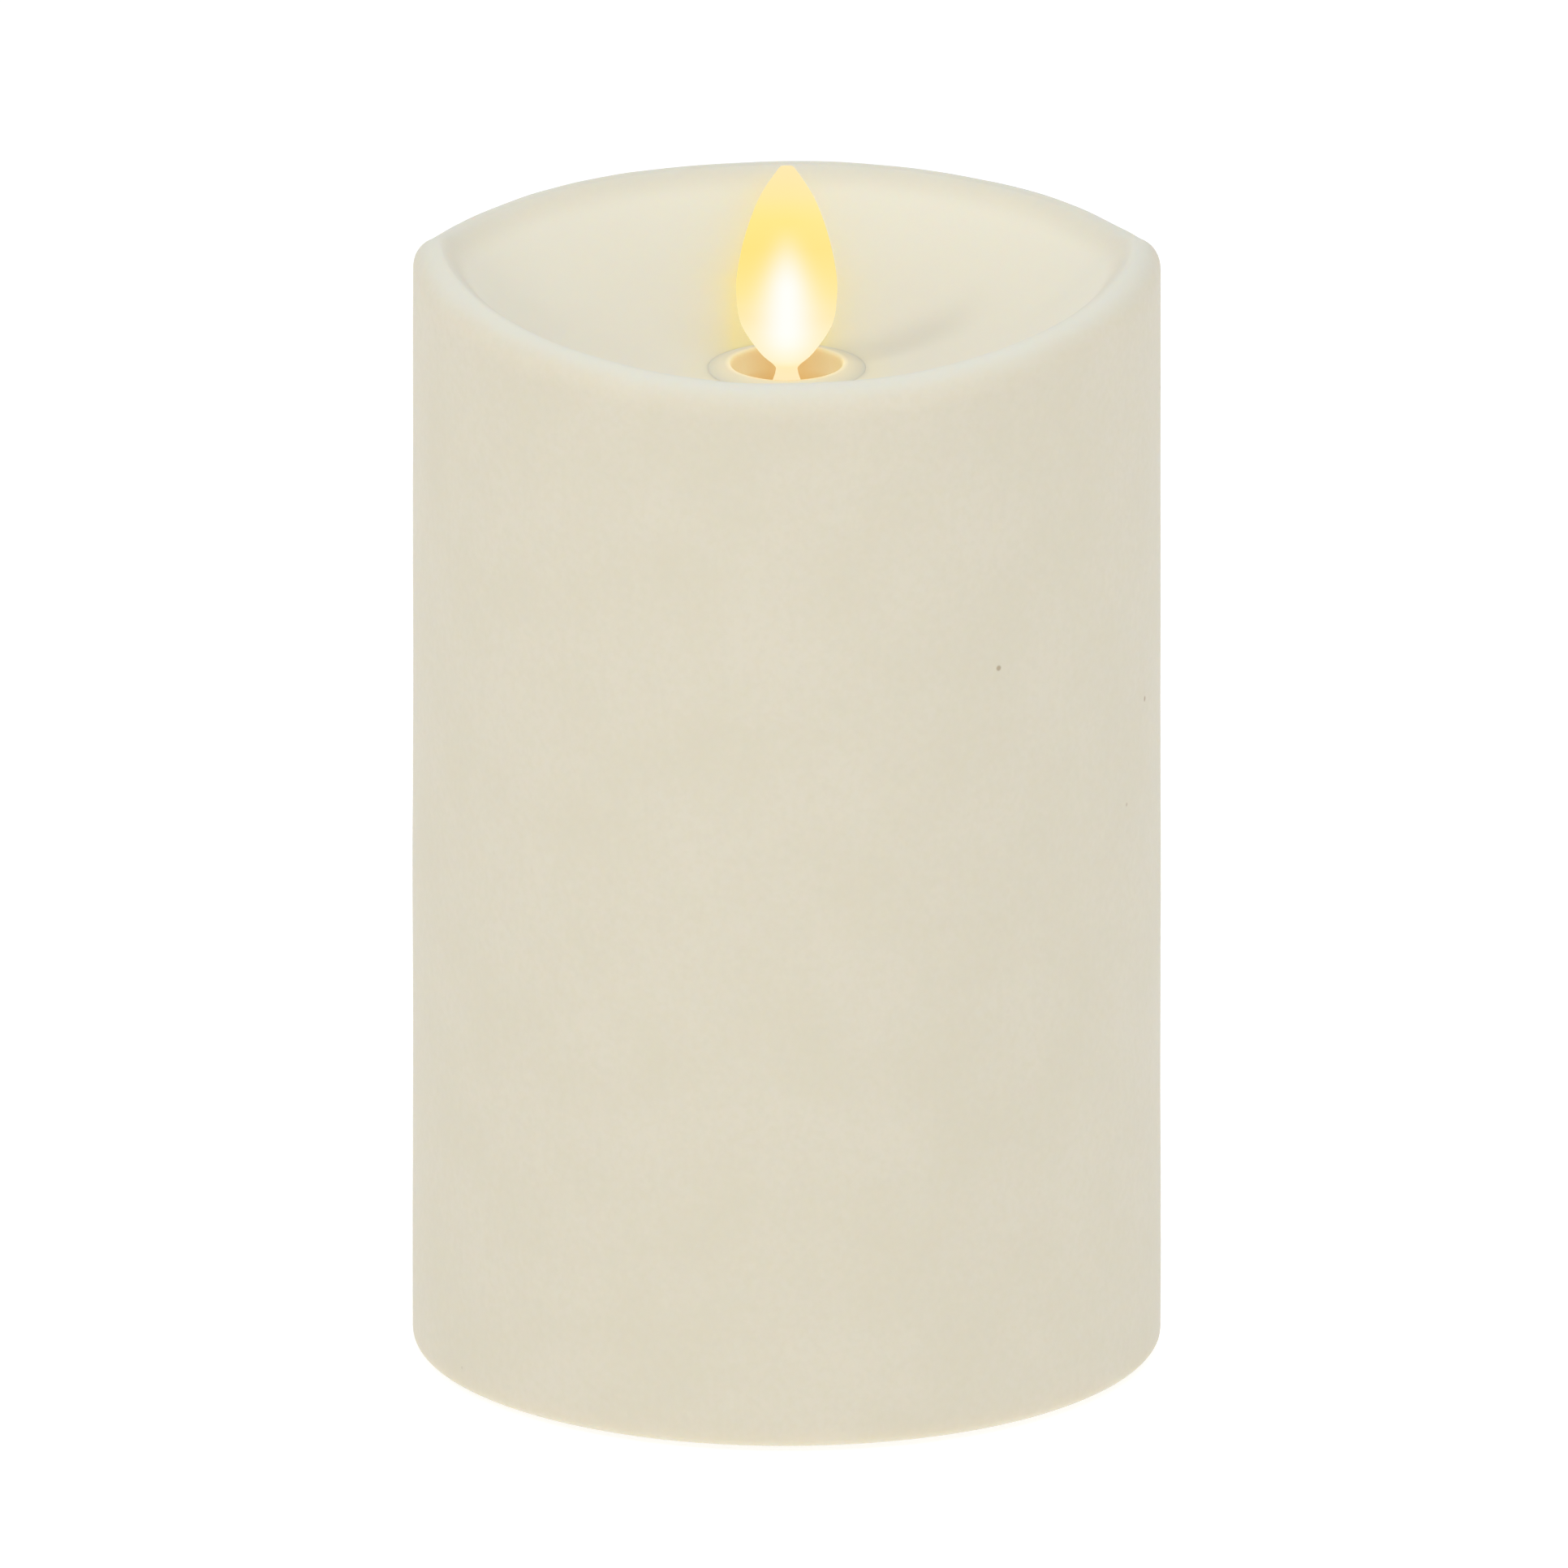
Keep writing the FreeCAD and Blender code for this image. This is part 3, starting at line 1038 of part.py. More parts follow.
# ---- circuit board ------------------------------------------------------------------------
def control_board():
    """The board round the engine, hung from the core's posts."""
    disc = cylinder(BOARD_R, BOARD_Z, BOARD_TOP_Z)
    window = block(0, 0, ENGINE_X + BOARD_CUT_X, ENGINE_Y + BOARD_CUT_Y, BOARD_Z, BOARD_TOP_Z)
    holes = [
        cylinder(SMALL_SCREW_R + SCREW_GAP, BOARD_Z, BOARD_TOP_Z, x, y)
        for x, y in around(POST_ANGLE, POST_PCR)
    ]
    return disc.cut(Part.makeCompound([window] + holes))


def board_screws():
    """The screws up through the board into the posts."""
    return [along(small_screw(), V(x, y, BOARD_Z), V(0, 0, 1)) for x, y in around(POST_ANGLE, POST_PCR)]


def board_chip():
    """The timer and driver chip with its legs, under the board."""
    x = -(ENGINE_X + BOARD_CUT_X + CHIP_OUT)
    top = BOARD_Z - CHIP_LIFT
    body = block(x, 0, CHIP_HALF_W, CHIP_HALF_L, top - CHIP_T, top)
    legs = []
    for i in range(CHIP_LEGS):
        y = (i - (CHIP_LEGS - 1) / 2) * LEAD_PITCH
        for side in (-1, 1):
            leg_x = x + side * LEG_OUT
            legs.append(block(leg_x, y, LEG_HALF_L, LEG_HALF_W, BOARD_Z - LEG_H, BOARD_Z))
    return body.multiFuse(legs)


def board_capacitors():
    """Two upright electrolytic cans under the board."""
    x = ENGINE_X + BOARD_CUT_X + CAN_OUT
    return [cylinder(CAN_R, BOARD_Z - CAN_H, BOARD_Z, x, y) for y in (-CAN_Y, CAN_Y)]


def board_resistors():
    """Chip resistors in two rows under the board."""
    y = -(ENGINE_Y + BOARD_CUT_Y + RESISTOR_OUT)
    low = BOARD_Z - RESISTOR_T
    rows = []
    for i in range(RESISTORS):
        for side in (-1, 1):
            x = side * (RESISTOR_X + RESISTOR_PITCH * i)
            rows.append(block(x, y, RESISTOR_HALF_W, RESISTOR_HALF_L, low, BOARD_Z))
    return rows


def board_transistors():
    """The three small transistors that drive the lamps and the coil."""
    y = -(ENGINE_Y + BOARD_CUT_Y + TRANSISTOR_OUT)
    low = BOARD_Z - TRANSISTOR_T
    return [
        block(i * TRANSISTOR_PITCH, y, TRANSISTOR_HALF_L, TRANSISTOR_HALF_W, low, BOARD_Z)
        for i in (-1, 0, 1)
    ]


def board_crystal():
    """The timer's crystal in its metal can, lying under the board."""
    x = -(ENGINE_X + BOARD_CUT_X + CHIP_OUT)
    return across(CRYSTAL_R, CRYSTAL_L, x - CRYSTAL_L / 2, CRYSTAL_Y, BOARD_Z - CRYSTAL_R)


# ---- wiring -------------------------------------------------------------------------------
def lamp_wires(side):
    """Two wires from a lamp's leads, out of the engine's window and up to the board."""
    y, z = lead_end(side)
    low = BOARD_Z - LAMP_WIRE_DROP
    pad = side * (ENGINE_Y + BOARD_CUT_Y + LAMP_PAD_OUT)
    wires = []
    for x in (-LEAD_PITCH / 2, LEAD_PITCH / 2):
        wires.append(tube([
            (x, y, z), (x, y, low + LAMP_WIRE_SAG),
            (x, side * (ENGINE_Y + LAMP_WIRE_EXIT), low), (x, pad, low), (x, pad, BOARD_Z),
        ], LAMP_WIRE_R))
    return wires


def coil_wires():
    """The coil's two ends, which leave the winding along Y and rise to the board."""
    pad = ENGINE_Y + BOARD_CUT_Y + COIL_PAD_OUT
    height = COIL_Z + COIL_FLANGE + COIL_WIRE_RISE
    wires = []
    for side in (-1, 1):
        x = side * COIL_WIRE_X
        route = [(x, 0, height), (x, pad, height), (x, pad, BOARD_Z)]
        wires.append(tube(route, COIL_WIRE_R))
    return wires


def power_wire(side):
    """A wire from a top contact's tab up to the board."""
    start = BOX_TOP_Z + TAB_H
    pad_x = side * (ENGINE_X + BOARD_CUT_X + POWER_PAD_OUT)
    pad_y = -side * POWER_PAD_Y
    rise = BOARD_Z - start
    return tube([
        (tab_x(side), 0, start), (tab_x(side), 0, start + rise * FIRST_BEND),
        (pad_x, pad_y, start + rise * LAST_BEND), (pad_x, pad_y, BOARD_Z),
    ], POWER_WIRE_R)


def switch_wires():
    """Three wires from the switch up beside the battery box to the board."""
    start = BASE_TOP_Z + SWITCH_H + TERMINAL_H
    pad_y = ENGINE_Y + BOARD_CUT_Y + SWITCH_PAD_OUT
    rise = BOARD_Z - start
    wires = []
    for x in terminal_places()[:SWITCH_WIRES]:
        pad_x = x + SWITCH_PAD_X
        route = [
            (x, SWITCH_Y, start), (x, SWITCH_Y, start + rise * FIRST_BEND),
            (pad_x, pad_y, start + rise * LAST_BEND), (pad_x, pad_y, BOARD_Z),
        ]
        wires.append(tube(route, SWITCH_WIRE_R))
    return wires


# ---- every node ---------------------------------------------------------------------------
def nodes():
    """Every sub-part by name, each a solid or a list of solids."""
    plate_z = CEILING_Z - CONTACT_T
    return {
        "wax_shell": wax_shell(),
        "core_housing": core_housing(),
        "flame_collar": flame_collar(),
        "glue_beads": glue_beads(),
        "base_plate": base_plate(),
        "rubber_feet": rubber_feet(),
        "base_screws": base_screws(),
        "box_screws": box_screws(),
        "battery_box": battery_box(),
        "battery_left": cell(-BAY_X, HIGH_CELL_Z, True),
        "battery_right": cell(BAY_X, LOW_CELL_Z, False),
        "battery_sleeves": [sleeve(-BAY_X, HIGH_CELL_Z, True), sleeve(BAY_X, LOW_CELL_Z, False)],
        "contact_positive": top_contact(-1, plate_z),
        "contact_negative": top_contact(1, plate_z),
        "contact_spring": coil_spring(BAY_X, LOW_CELL_Z + CELL_L, plate_z, True),
        "battery_door": battery_door(),
        "door_bridge": door_bridge(),
        "door_spring": coil_spring(-BAY_X, BRIDGE_TOP_Z, HIGH_CELL_Z - CONTACT_REST, False),
        "door_hinge_pin": door_hinge_pin(),
        "switch_body": switch_body(),
        "switch_lever": switch_lever(),
        "switch_knob": switch_knob(),
        "switch_terminals": switch_terminals(),
        "flame_paddle": flame_paddle(),
        "pendulum_magnet": pendulum_magnet(),
        "pivot_wire": pivot_wire(),
        "engine_half_left": engine_half(-1),
        "engine_half_right": engine_half(1),
        "engine_screws": engine_screws(),
        "mount_screws": mount_screws(),
        "coil_bobbin": coil_bobbin(),
        "coil_winding": coil_winding(),
        "lamp_front": lamp(-1),
        "lamp_rear": lamp(1),
        "lamp_leads": lamp_leads(),
        "control_board": control_board(),
        "board_screws": board_screws(),
        "board_chip": board_chip(),
        "board_capacitors": board_capacitors(),
        "board_resistors": board_resistors(),
        "board_transistors": board_transistors(),
        "board_crystal": board_crystal(),
        "wires_lamp_front": lamp_wires(-1),
        "wires_lamp_rear": lamp_wires(1),
        "wires_coil": coil_wires(),
        "wire_power_red": power_wire(-1),
        "wire_power_black": power_wire(1),
        "wires_switch": switch_wires(),
    }


def main():
    """Writes one STEP file per node and prints what each holds."""
    os.makedirs("parts", exist_ok=True)
    for name, made in nodes().items():
        solids = made if isinstance(made, list) else made.Solids
        shape = solids[0] if len(solids) == 1 else Part.makeCompound(solids)
        valid = shape.isValid()
        print(f"{name:20s} solids {len(solids)} volume {shape.Volume:10.1f} valid {valid}")
        shape.exportStep(f"parts/{name}.step")


main()
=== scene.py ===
"""Looks of a flameless candle: a wax pillar whose plastic flame hangs on a wire and sways.

Sizes in the classes are millimetres. Meshes are made in millimetres and scaled to metres at
the end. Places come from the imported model's boxes. The front faces -Y and the floor is Z 0.
"""

import functools
import logging
import math
from dataclasses import dataclass, field
from enum import Enum
from typing import Callable

import bmesh
import bpy
from mathutils import Matrix, Vector, geometry, noise


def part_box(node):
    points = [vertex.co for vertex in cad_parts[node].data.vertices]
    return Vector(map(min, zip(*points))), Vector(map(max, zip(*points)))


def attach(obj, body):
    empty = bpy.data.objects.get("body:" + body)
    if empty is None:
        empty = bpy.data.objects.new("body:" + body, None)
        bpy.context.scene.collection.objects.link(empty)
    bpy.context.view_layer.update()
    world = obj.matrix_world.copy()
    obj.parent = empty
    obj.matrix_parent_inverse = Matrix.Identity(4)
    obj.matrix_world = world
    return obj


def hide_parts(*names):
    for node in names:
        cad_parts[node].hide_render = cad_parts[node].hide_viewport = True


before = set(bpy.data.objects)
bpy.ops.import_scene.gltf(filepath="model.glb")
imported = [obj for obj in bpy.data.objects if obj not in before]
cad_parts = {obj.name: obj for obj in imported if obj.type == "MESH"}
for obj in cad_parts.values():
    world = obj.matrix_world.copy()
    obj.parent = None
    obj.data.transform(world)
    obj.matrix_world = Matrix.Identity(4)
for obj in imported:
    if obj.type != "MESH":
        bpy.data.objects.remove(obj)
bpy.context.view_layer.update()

log = logging.getLogger("candle")

MM = 0.001
SHARP_ANGLE = math.radians(38)
WELD_MM = 0.0005
NEAR_MM = 0.001
# a wave texture repeats this many times per unit of its scale
WAVE_REPEATS = 10 / math.pi

Colour = tuple[float, float, float, float]
Stops = list[tuple[float, str]]


# ---- small tools --------------------------------------------------------------------------
def linear(hex_colour: str) -> Colour:
    """Turns an sRGB hex colour to a linear one.

    Args:
        hex_colour: six hex digits.

    Returns:
        Red, green, blue and an alpha of 1, linear.
    """
    values = [int(hex_colour[i:i + 2], 16) / 255 for i in (0, 2, 4)]
    red, green, blue = (
        v / 12.92 if v <= 0.04045 else ((v + 0.055) / 1.055) ** 2.4 for v in values
    )
    return red, green, blue, 1.0


def per_mm(size_mm: float) -> float:
    """Returns the texture scale whose pattern repeats every size_mm on metre coordinates."""
    return 1 / (size_mm * MM)


def smooth_step(low: float, high: float, value: float) -> float:
    """Returns 0 below low, 1 above high and a smooth share in between."""
    share = min(1.0, max(0.0, (value - low) / (high - low)))
    return share * share * (3 - 2 * share)


def unevenness(point: Vector, size_mm: float, depth_mm: float) -> float:
    """Returns a smooth fixed unevenness with that spacing and depth, in millimetres."""
    return noise.noise(point / size_mm) * depth_mm


def add_node(
    tree: bpy.types.NodeTree,
    kind: str,
    sockets: dict[str | int, object] | None = None,
    stops: Stops | None = None,
    **settings: object,
) -> bpy.types.Node:
    """Adds a node with its settings, its values and its links.

    Args:
        tree: the node tree.
        kind: the node's type name.
        sockets: input name or number to a value, or to the output that feeds it.
        stops: a colour ramp's (position, hex colour) pairs.
        **settings: the node's own properties.

    Returns:
        The new node.
    """
    node = tree.nodes.new(kind)
    for name, value in settings.items():
        setattr(node, name, value)
    for key, value in (sockets or {}).items():
        if isinstance(value, bpy.types.NodeSocket):
            tree.links.new(value, node.inputs[key])
        else:
            node.inputs[key].default_value = value
    if stops:
        ramp = node.color_ramp.elements
        while len(ramp) < len(stops):
            ramp.new(1.0)
        for element, (position, hex_colour) in zip(ramp, stops):
            element.position = position
            element.color = linear(hex_colour)
    return node


# ---- finishes -----------------------------------------------------------------------------
@dataclass(frozen=True)
class Finish:
    """What every finish has: its material's name and the record's slot it belongs to."""

    name: str
    slot: str

    def shader(self, tree: bpy.types.NodeTree) -> bpy.types.Node:
        """Adds the finish's nodes.

        Args:
            tree: the material's empty node tree.

        Returns:
            The Principled node that ends them.
        """
        raise NotImplementedError

    def place(self, tree: bpy.types.NodeTree) -> bpy.types.NodeSocket:
        """Returns the object coordinates, in metres from the candle's own axis and floor."""
        return add_node(tree, "ShaderNodeTexCoord").outputs["Object"]


@functools.cache
def material_of(finish: Finish) -> bpy.types.Material:
    """Makes a finish's material the first time it is asked for.

    Args:
        finish: the finish.

    Returns:
        Its material.
    """
    material = bpy.data.materials.new(finish.name)
    material.use_nodes = True
    tree = material.node_tree
    tree.nodes.clear()
    surface = finish.shader(tree).outputs["BSDF"]
    add_node(tree, "ShaderNodeOutputMaterial", {"Surface": surface})
    return material


@dataclass(frozen=True)
class CandleWax(Finish):
    """Poured paraffin wax, lightly buffed.

    It gives the eye a soft ivory body whose light comes from just under the skin, a paler, cooler
    painted sheen along the lip's roll, cloudy mottling, a few trapped specks, a bowl painted
    lighter than the body and lighter towards its rim as painted light from above, and the lit
    flame's warm glow painted into the bowl's colour round it.
    """

    body: str = "D6D0BD"
    cloud: str = "D9D3C2"
    # the bowl's two tones are painted light: lighter than the body and lighter higher up, for light
    # from above
    bowl_painted_light_low: str = "DFDAC9"
    bowl_painted_light_high: str = "EAE7D8"
    bowl_low_z_mm: float = 113.0
    bowl_high_z_mm: float = 124.0
    lip_painted_sheen: str = "DADBD1"
    glow: str = "F6E08C"
    speck: str = "8A6A45"
    cloud_mm: float = 11.0
    fine_mm: float = 0.9
    mottle_range: tuple[float, float] = (0.12, 0.38)
    relief_mm: float = 0.12
    scatter_mm: float = 3.0
    scatter: tuple[float, float, float] = (1.0, 0.72, 0.42)
    speck_mm: float = 17.0
    speck_size: float = 0.0125
    speck_blur: float = 1.8
    speck_share: float = 0.5
    glow_lean_mm: float = 1.0
    glow_fade_mm: float = 2.5
    glow_share_max: float = 0.72
    glow_share_far: float = 0.22
    glow_share_front: float = 0.2
    glow_near_mm: float = 24.0
    glow_far_mm: float = 38.0
    flame_half_mm: float = 4.9
    flame_half_far_mm: float = 1.5
    ring_glow: float = 0.2
    ring_glow_from_mm: float = 8.0
    ring_glow_to_mm: float = 14.0

    def shader(self, tree: bpy.types.NodeTree) -> bpy.types.Node:
        """Adds the wax's nodes and returns the Principled node that ends them."""
        place = self.place(tree)
        cloud = add_node(
            tree, "ShaderNodeTexNoise",
            {"Vector": place, "Scale": per_mm(self.cloud_mm), "Detail": 3.0, "Roughness": 0.55},
        )
        fine = add_node(
            tree, "ShaderNodeTexNoise",
            {"Vector": place, "Scale": per_mm(self.fine_mm), "Detail": 2.0, "Roughness": 0.6},
        )
        mottle = add_node(
            tree, "ShaderNodeMath", {0: cloud.outputs["Fac"], 1: fine.outputs["Fac"]},
            operation="MULTIPLY",
        )
        share = add_node(
            tree, "ShaderNodeMapRange",
            {"Value": mottle.outputs[0], "From Min": self.mottle_range[0],
             "From Max": self.mottle_range[1]},
        )
        body = add_node(
            tree, "ShaderNodeMix",
            {"Factor": share.outputs["Result"], 6: linear(self.body), 7: linear(self.cloud)},
            data_type="RGBA",
        )
        # painted light: inside the bowl the colour turns lighter than the body, the more so towards
        # the rim
        zone = add_node(tree, "ShaderNodeAttribute", attribute_name="bowl").outputs["Fac"]
        height = add_node(
            tree, "ShaderNodeMapRange",
            {"Value": add_node(tree, "ShaderNodeSeparateXYZ", {0: place}).outputs["Z"],
             "From Min": self.bowl_low_z_mm * MM, "From Max": self.bowl_high_z_mm * MM},
        )
        bowl = add_node(
            tree, "ShaderNodeMix",
            {"Factor": height.outputs["Result"], 6: linear(self.bowl_painted_light_low),
             7: linear(self.bowl_painted_light_high)},
            data_type="RGBA",
        )
        inner = add_node(
            tree, "ShaderNodeMix",
            {"Factor": zone, 6: body.outputs[2], 7: bowl.outputs[2]}, data_type="RGBA",
        )
        # painted light: the flame's warm glow mixed into the bowl's colour, not cast by the flame
        glow = add_node(
            tree, "ShaderNodeMath", {0: self.glow_share(tree, place), 1: zone},
            operation="MULTIPLY",
        )
        lit = add_node(
            tree, "ShaderNodeMix",
            {"Factor": glow.outputs[0], 6: inner.outputs[2], 7: linear(self.glow)},
            data_type="RGBA",
        )
        # painted sheen: a paler, cooler band along the lip's roll, standing in for light from above
        # catching it
        lip = add_node(tree, "ShaderNodeAttribute", attribute_name="lip")
        painted_sheen_mix = add_node(
            tree, "ShaderNodeMix",
            {"Factor": lip.outputs["Fac"], 6: lit.outputs[2], 7: linear(self.lip_painted_sheen)},
            data_type="RGBA",
        )
        dots = add_node(
            tree, "ShaderNodeTexVoronoi", {"Vector": place, "Scale": per_mm(self.speck_mm)},
        )
        dot = add_node(
            tree, "ShaderNodeMapRange",
            {"Value": dots.outputs["Distance"], "From Min": self.speck_size,
             "From Max": self.speck_size * self.speck_blur, "To Min": self.speck_share,
             "To Max": 0.0},
        )
        speckled = add_node(
            tree, "ShaderNodeMix",
            {"Factor": dot.outputs["Result"], 6: painted_sheen_mix.outputs[2], 7: linear(self.speck)},
            data_type="RGBA",
        )
        skin = add_node(
            tree, "ShaderNodeBump",
            {"Height": mottle.outputs[0], "Strength": 0.18,
             "Distance": self.relief_mm * MM},
        )
        return add_node(
            tree, "ShaderNodeBsdfPrincipled",
            {"Base Color": speckled.outputs[2], "Roughness": 0.6, "IOR": 1.44,
             "Specular IOR Level": 0.12, "Subsurface Weight": 0.55,
             "Subsurface Radius": self.scatter, "Subsurface Scale": self.scatter_mm * MM,
             "Normal": skin.outputs["Normal"]},
        )

    def glow_share(
        self, tree: bpy.types.NodeTree, place: bpy.types.NodeSocket
    ) -> bpy.types.NodeSocket:
        """Adds the share of painted light: the warm glow that the flame's two broad faces and its
        lamps would leave in the bowl, painted into its colour.

        Args:
            tree: the material's node tree.
            place: the object coordinates.

        Returns:
            The share of the glow colour, 0 to 1.
        """
        parts = add_node(tree, "ShaderNodeSeparateXYZ", {0: place})
        aside = add_node(
            tree, "ShaderNodeMath", {0: parts.outputs["X"], 1: self.glow_lean_mm * MM},
            operation="ADD",
        )
        beside = add_node(tree, "ShaderNodeMath", {0: aside.outputs[0]}, operation="ABSOLUTE")
        deep = add_node(tree, "ShaderNodeMath", {0: parts.outputs["Y"]}, operation="ABSOLUTE")
        core = add_node(
            tree, "ShaderNodeMapRange",
            {"Value": deep.outputs[0], "From Min": self.glow_near_mm * MM,
             "From Max": self.glow_far_mm * MM, "To Min": self.flame_half_mm * MM,
             "To Max": self.flame_half_far_mm * MM},
        )
        past = add_node(
            tree, "ShaderNodeMath", {0: beside.outputs[0], 1: core.outputs["Result"]},
            operation="SUBTRACT",
        )
        fallen = add_node(
            tree, "ShaderNodeMath", {0: past.outputs[0], 1: -per_mm(self.glow_fade_mm)},
            operation="MULTIPLY",
        )
        band = add_node(
            tree, "ShaderNodeMath", {0: fallen.outputs[0]}, operation="EXPONENT", use_clamp=True,
        )
        reach = add_node(
            tree, "ShaderNodeMapRange",
            {"Value": deep.outputs[0], "From Min": self.glow_near_mm * MM,
             "From Max": self.glow_far_mm * MM, "To Min": self.glow_share_max,
             "To Max": self.glow_share_far},
        )
        behind = add_node(
            tree, "ShaderNodeMapRange",
            {"Value": parts.outputs["Y"], "From Min": -self.ring_glow_from_mm * MM,
             "From Max": self.ring_glow_from_mm * MM, "To Min": self.glow_share_front},
        )
        seen = add_node(
            tree, "ShaderNodeMath", {0: band.outputs[0], 1: behind.outputs["Result"]},
            operation="MULTIPLY",
        )
        broad = add_node(
            tree, "ShaderNodeMath", {0: seen.outputs[0], 1: reach.outputs["Result"]},
            operation="MULTIPLY",
        )
        flat = add_node(
            tree, "ShaderNodeVectorMath", {0: place, 1: (1.0, 1.0, 0.0)}, operation="MULTIPLY",
        )
        away = add_node(
            tree, "ShaderNodeVectorMath", {0: flat.outputs["Vector"]}, operation="LENGTH",
        )
        round_ring = add_node(
            tree, "ShaderNodeMapRange",
            {"Value": away.outputs["Value"], "From Min": self.ring_glow_from_mm * MM,
             "From Max": self.ring_glow_to_mm * MM, "To Min": self.ring_glow, "To Max": 0.0},
            interpolation_type="SMOOTHSTEP",
        )
        return add_node(
            tree, "ShaderNodeMath", {0: broad.outputs[0], 1: round_ring.outputs["Result"]},
            operation="MAXIMUM",
        ).outputs[0]


@dataclass(frozen=True)
class LitRing(Finish):
    """Ivory polypropylene moulded to look like a soft wax ring, lit from inside by the lamps.

    It gives the eye a waxy ring that turns tan and then amber down its bore, most of all beside
    the flame's neck, where the lamps shine up.
    """

    rim: str = "DAD4BF"
    crest: str = "E2DABF"
    mouth: str = "E8DDBC"
    bore: str = "F0E8CC"
    deep: str = "E4C07A"
    glow: str = "F0DBA8"
    glow_strength: float = 0.16
    neck_mm: float = 1.8
    neck_glow_mm: float = 4.8
    neck_glow: float = 0.75
    edge_mm: tuple[float, float] = (-0.1, 0.5)
    scatter_mm: float = 1.4
    scatter: tuple[float, float, float] = (1.0, 0.7, 0.35)
    mouth_r_mm: float = 6.4
    rim_r_mm: float = 8.75
    crest_z_mm: float = 113.0
    deep_z_mm: float = 108.6
    grain_mm: float = 2.4

    def shader(self, tree: bpy.types.NodeTree) -> bpy.types.Node:
        """Adds the ring's nodes and returns the Principled node that ends them."""
        place = self.place(tree)
        flat = add_node(
            tree, "ShaderNodeVectorMath", {0: place, 1: (1.0, 1.0, 0.0)}, operation="MULTIPLY",
        )
        radius = add_node(
            tree, "ShaderNodeVectorMath", {0: flat.outputs["Vector"]}, operation="LENGTH",
        )
        outward = add_node(
            tree, "ShaderNodeMapRange",
            {"Value": radius.outputs["Value"], "From Min": self.mouth_r_mm * MM,
             "From Max": self.rim_r_mm * MM},
        )
        top = add_node(
            tree, "ShaderNodeValToRGB", {"Fac": outward.outputs["Result"]},
            stops=[(0.0, self.mouth), (0.5, self.crest), (0.95, self.rim)],
        )
        height = add_node(tree, "ShaderNodeSeparateXYZ", {0: place}).outputs["Z"]
        upward = add_node(
            tree, "ShaderNodeMapRange",
            {"Value": height, "From Min": self.deep_z_mm * MM, "From Max": self.crest_z_mm * MM},
        )
        wall = add_node(
            tree, "ShaderNodeValToRGB", {"Fac": upward.outputs["Result"]},
            stops=[(0.0, self.deep), (0.45, self.bore), (0.85, self.mouth)],
        )
        aside = add_node(
            tree, "ShaderNodeMath",
            {0: add_node(tree, "ShaderNodeSeparateXYZ", {0: place}).outputs["X"]},
            operation="ABSOLUTE",
        )
        by_neck = add_node(
            tree, "ShaderNodeMapRange",
            {"Value": aside.outputs[0], "From Min": self.neck_mm * MM,
             "From Max": self.neck_glow_mm * MM, "To Min": self.neck_glow, "To Max": 0.0},
        )
        warm = add_node(
            tree, "ShaderNodeMix",
            {"Factor": by_neck.outputs["Result"], 6: wall.outputs["Color"],
             7: linear(self.deep)},
            data_type="RGBA",
        )
        in_bore = add_node(
            tree, "ShaderNodeMapRange",
            {"Value": radius.outputs["Value"],
             "From Min": (self.mouth_r_mm + self.edge_mm[0]) * MM,
             "From Max": (self.mouth_r_mm + self.edge_mm[1]) * MM},
        )
        colour = add_node(
            tree, "ShaderNodeMix",
            {"Factor": in_bore.outputs["Result"], 6: warm.outputs[2], 7: top.outputs["Color"]},
            data_type="RGBA",
        )
        lit = add_node(
            tree, "ShaderNodeMix",
            {"Factor": in_bore.outputs["Result"], 6: linear(self.glow), 7: linear("000000")},
            data_type="RGBA",
        )
        grain = add_node(
            tree, "ShaderNodeTexNoise",
            {"Vector": place, "Scale": per_mm(self.grain_mm), "Detail": 3.0},
        )
        skin = add_node(
            tree, "ShaderNodeBump",
            {"Height": grain.outputs["Fac"], "Strength": 0.3, "Distance": 0.2 * MM},
        )
        return add_node(
            tree, "ShaderNodeBsdfPrincipled",
            {"Base Color": colour.outputs[2], "Roughness": 0.5, "IOR": 1.49,
             "Specular IOR Level": 0.35, "Subsurface Weight": 0.4,
             "Subsurface Radius": self.scatter, "Subsurface Scale": self.scatter_mm * MM,
             "Emission Color": lit.outputs[2], "Emission Strength": self.glow_strength,
             "Normal": skin.outputs["Normal"]},
        )


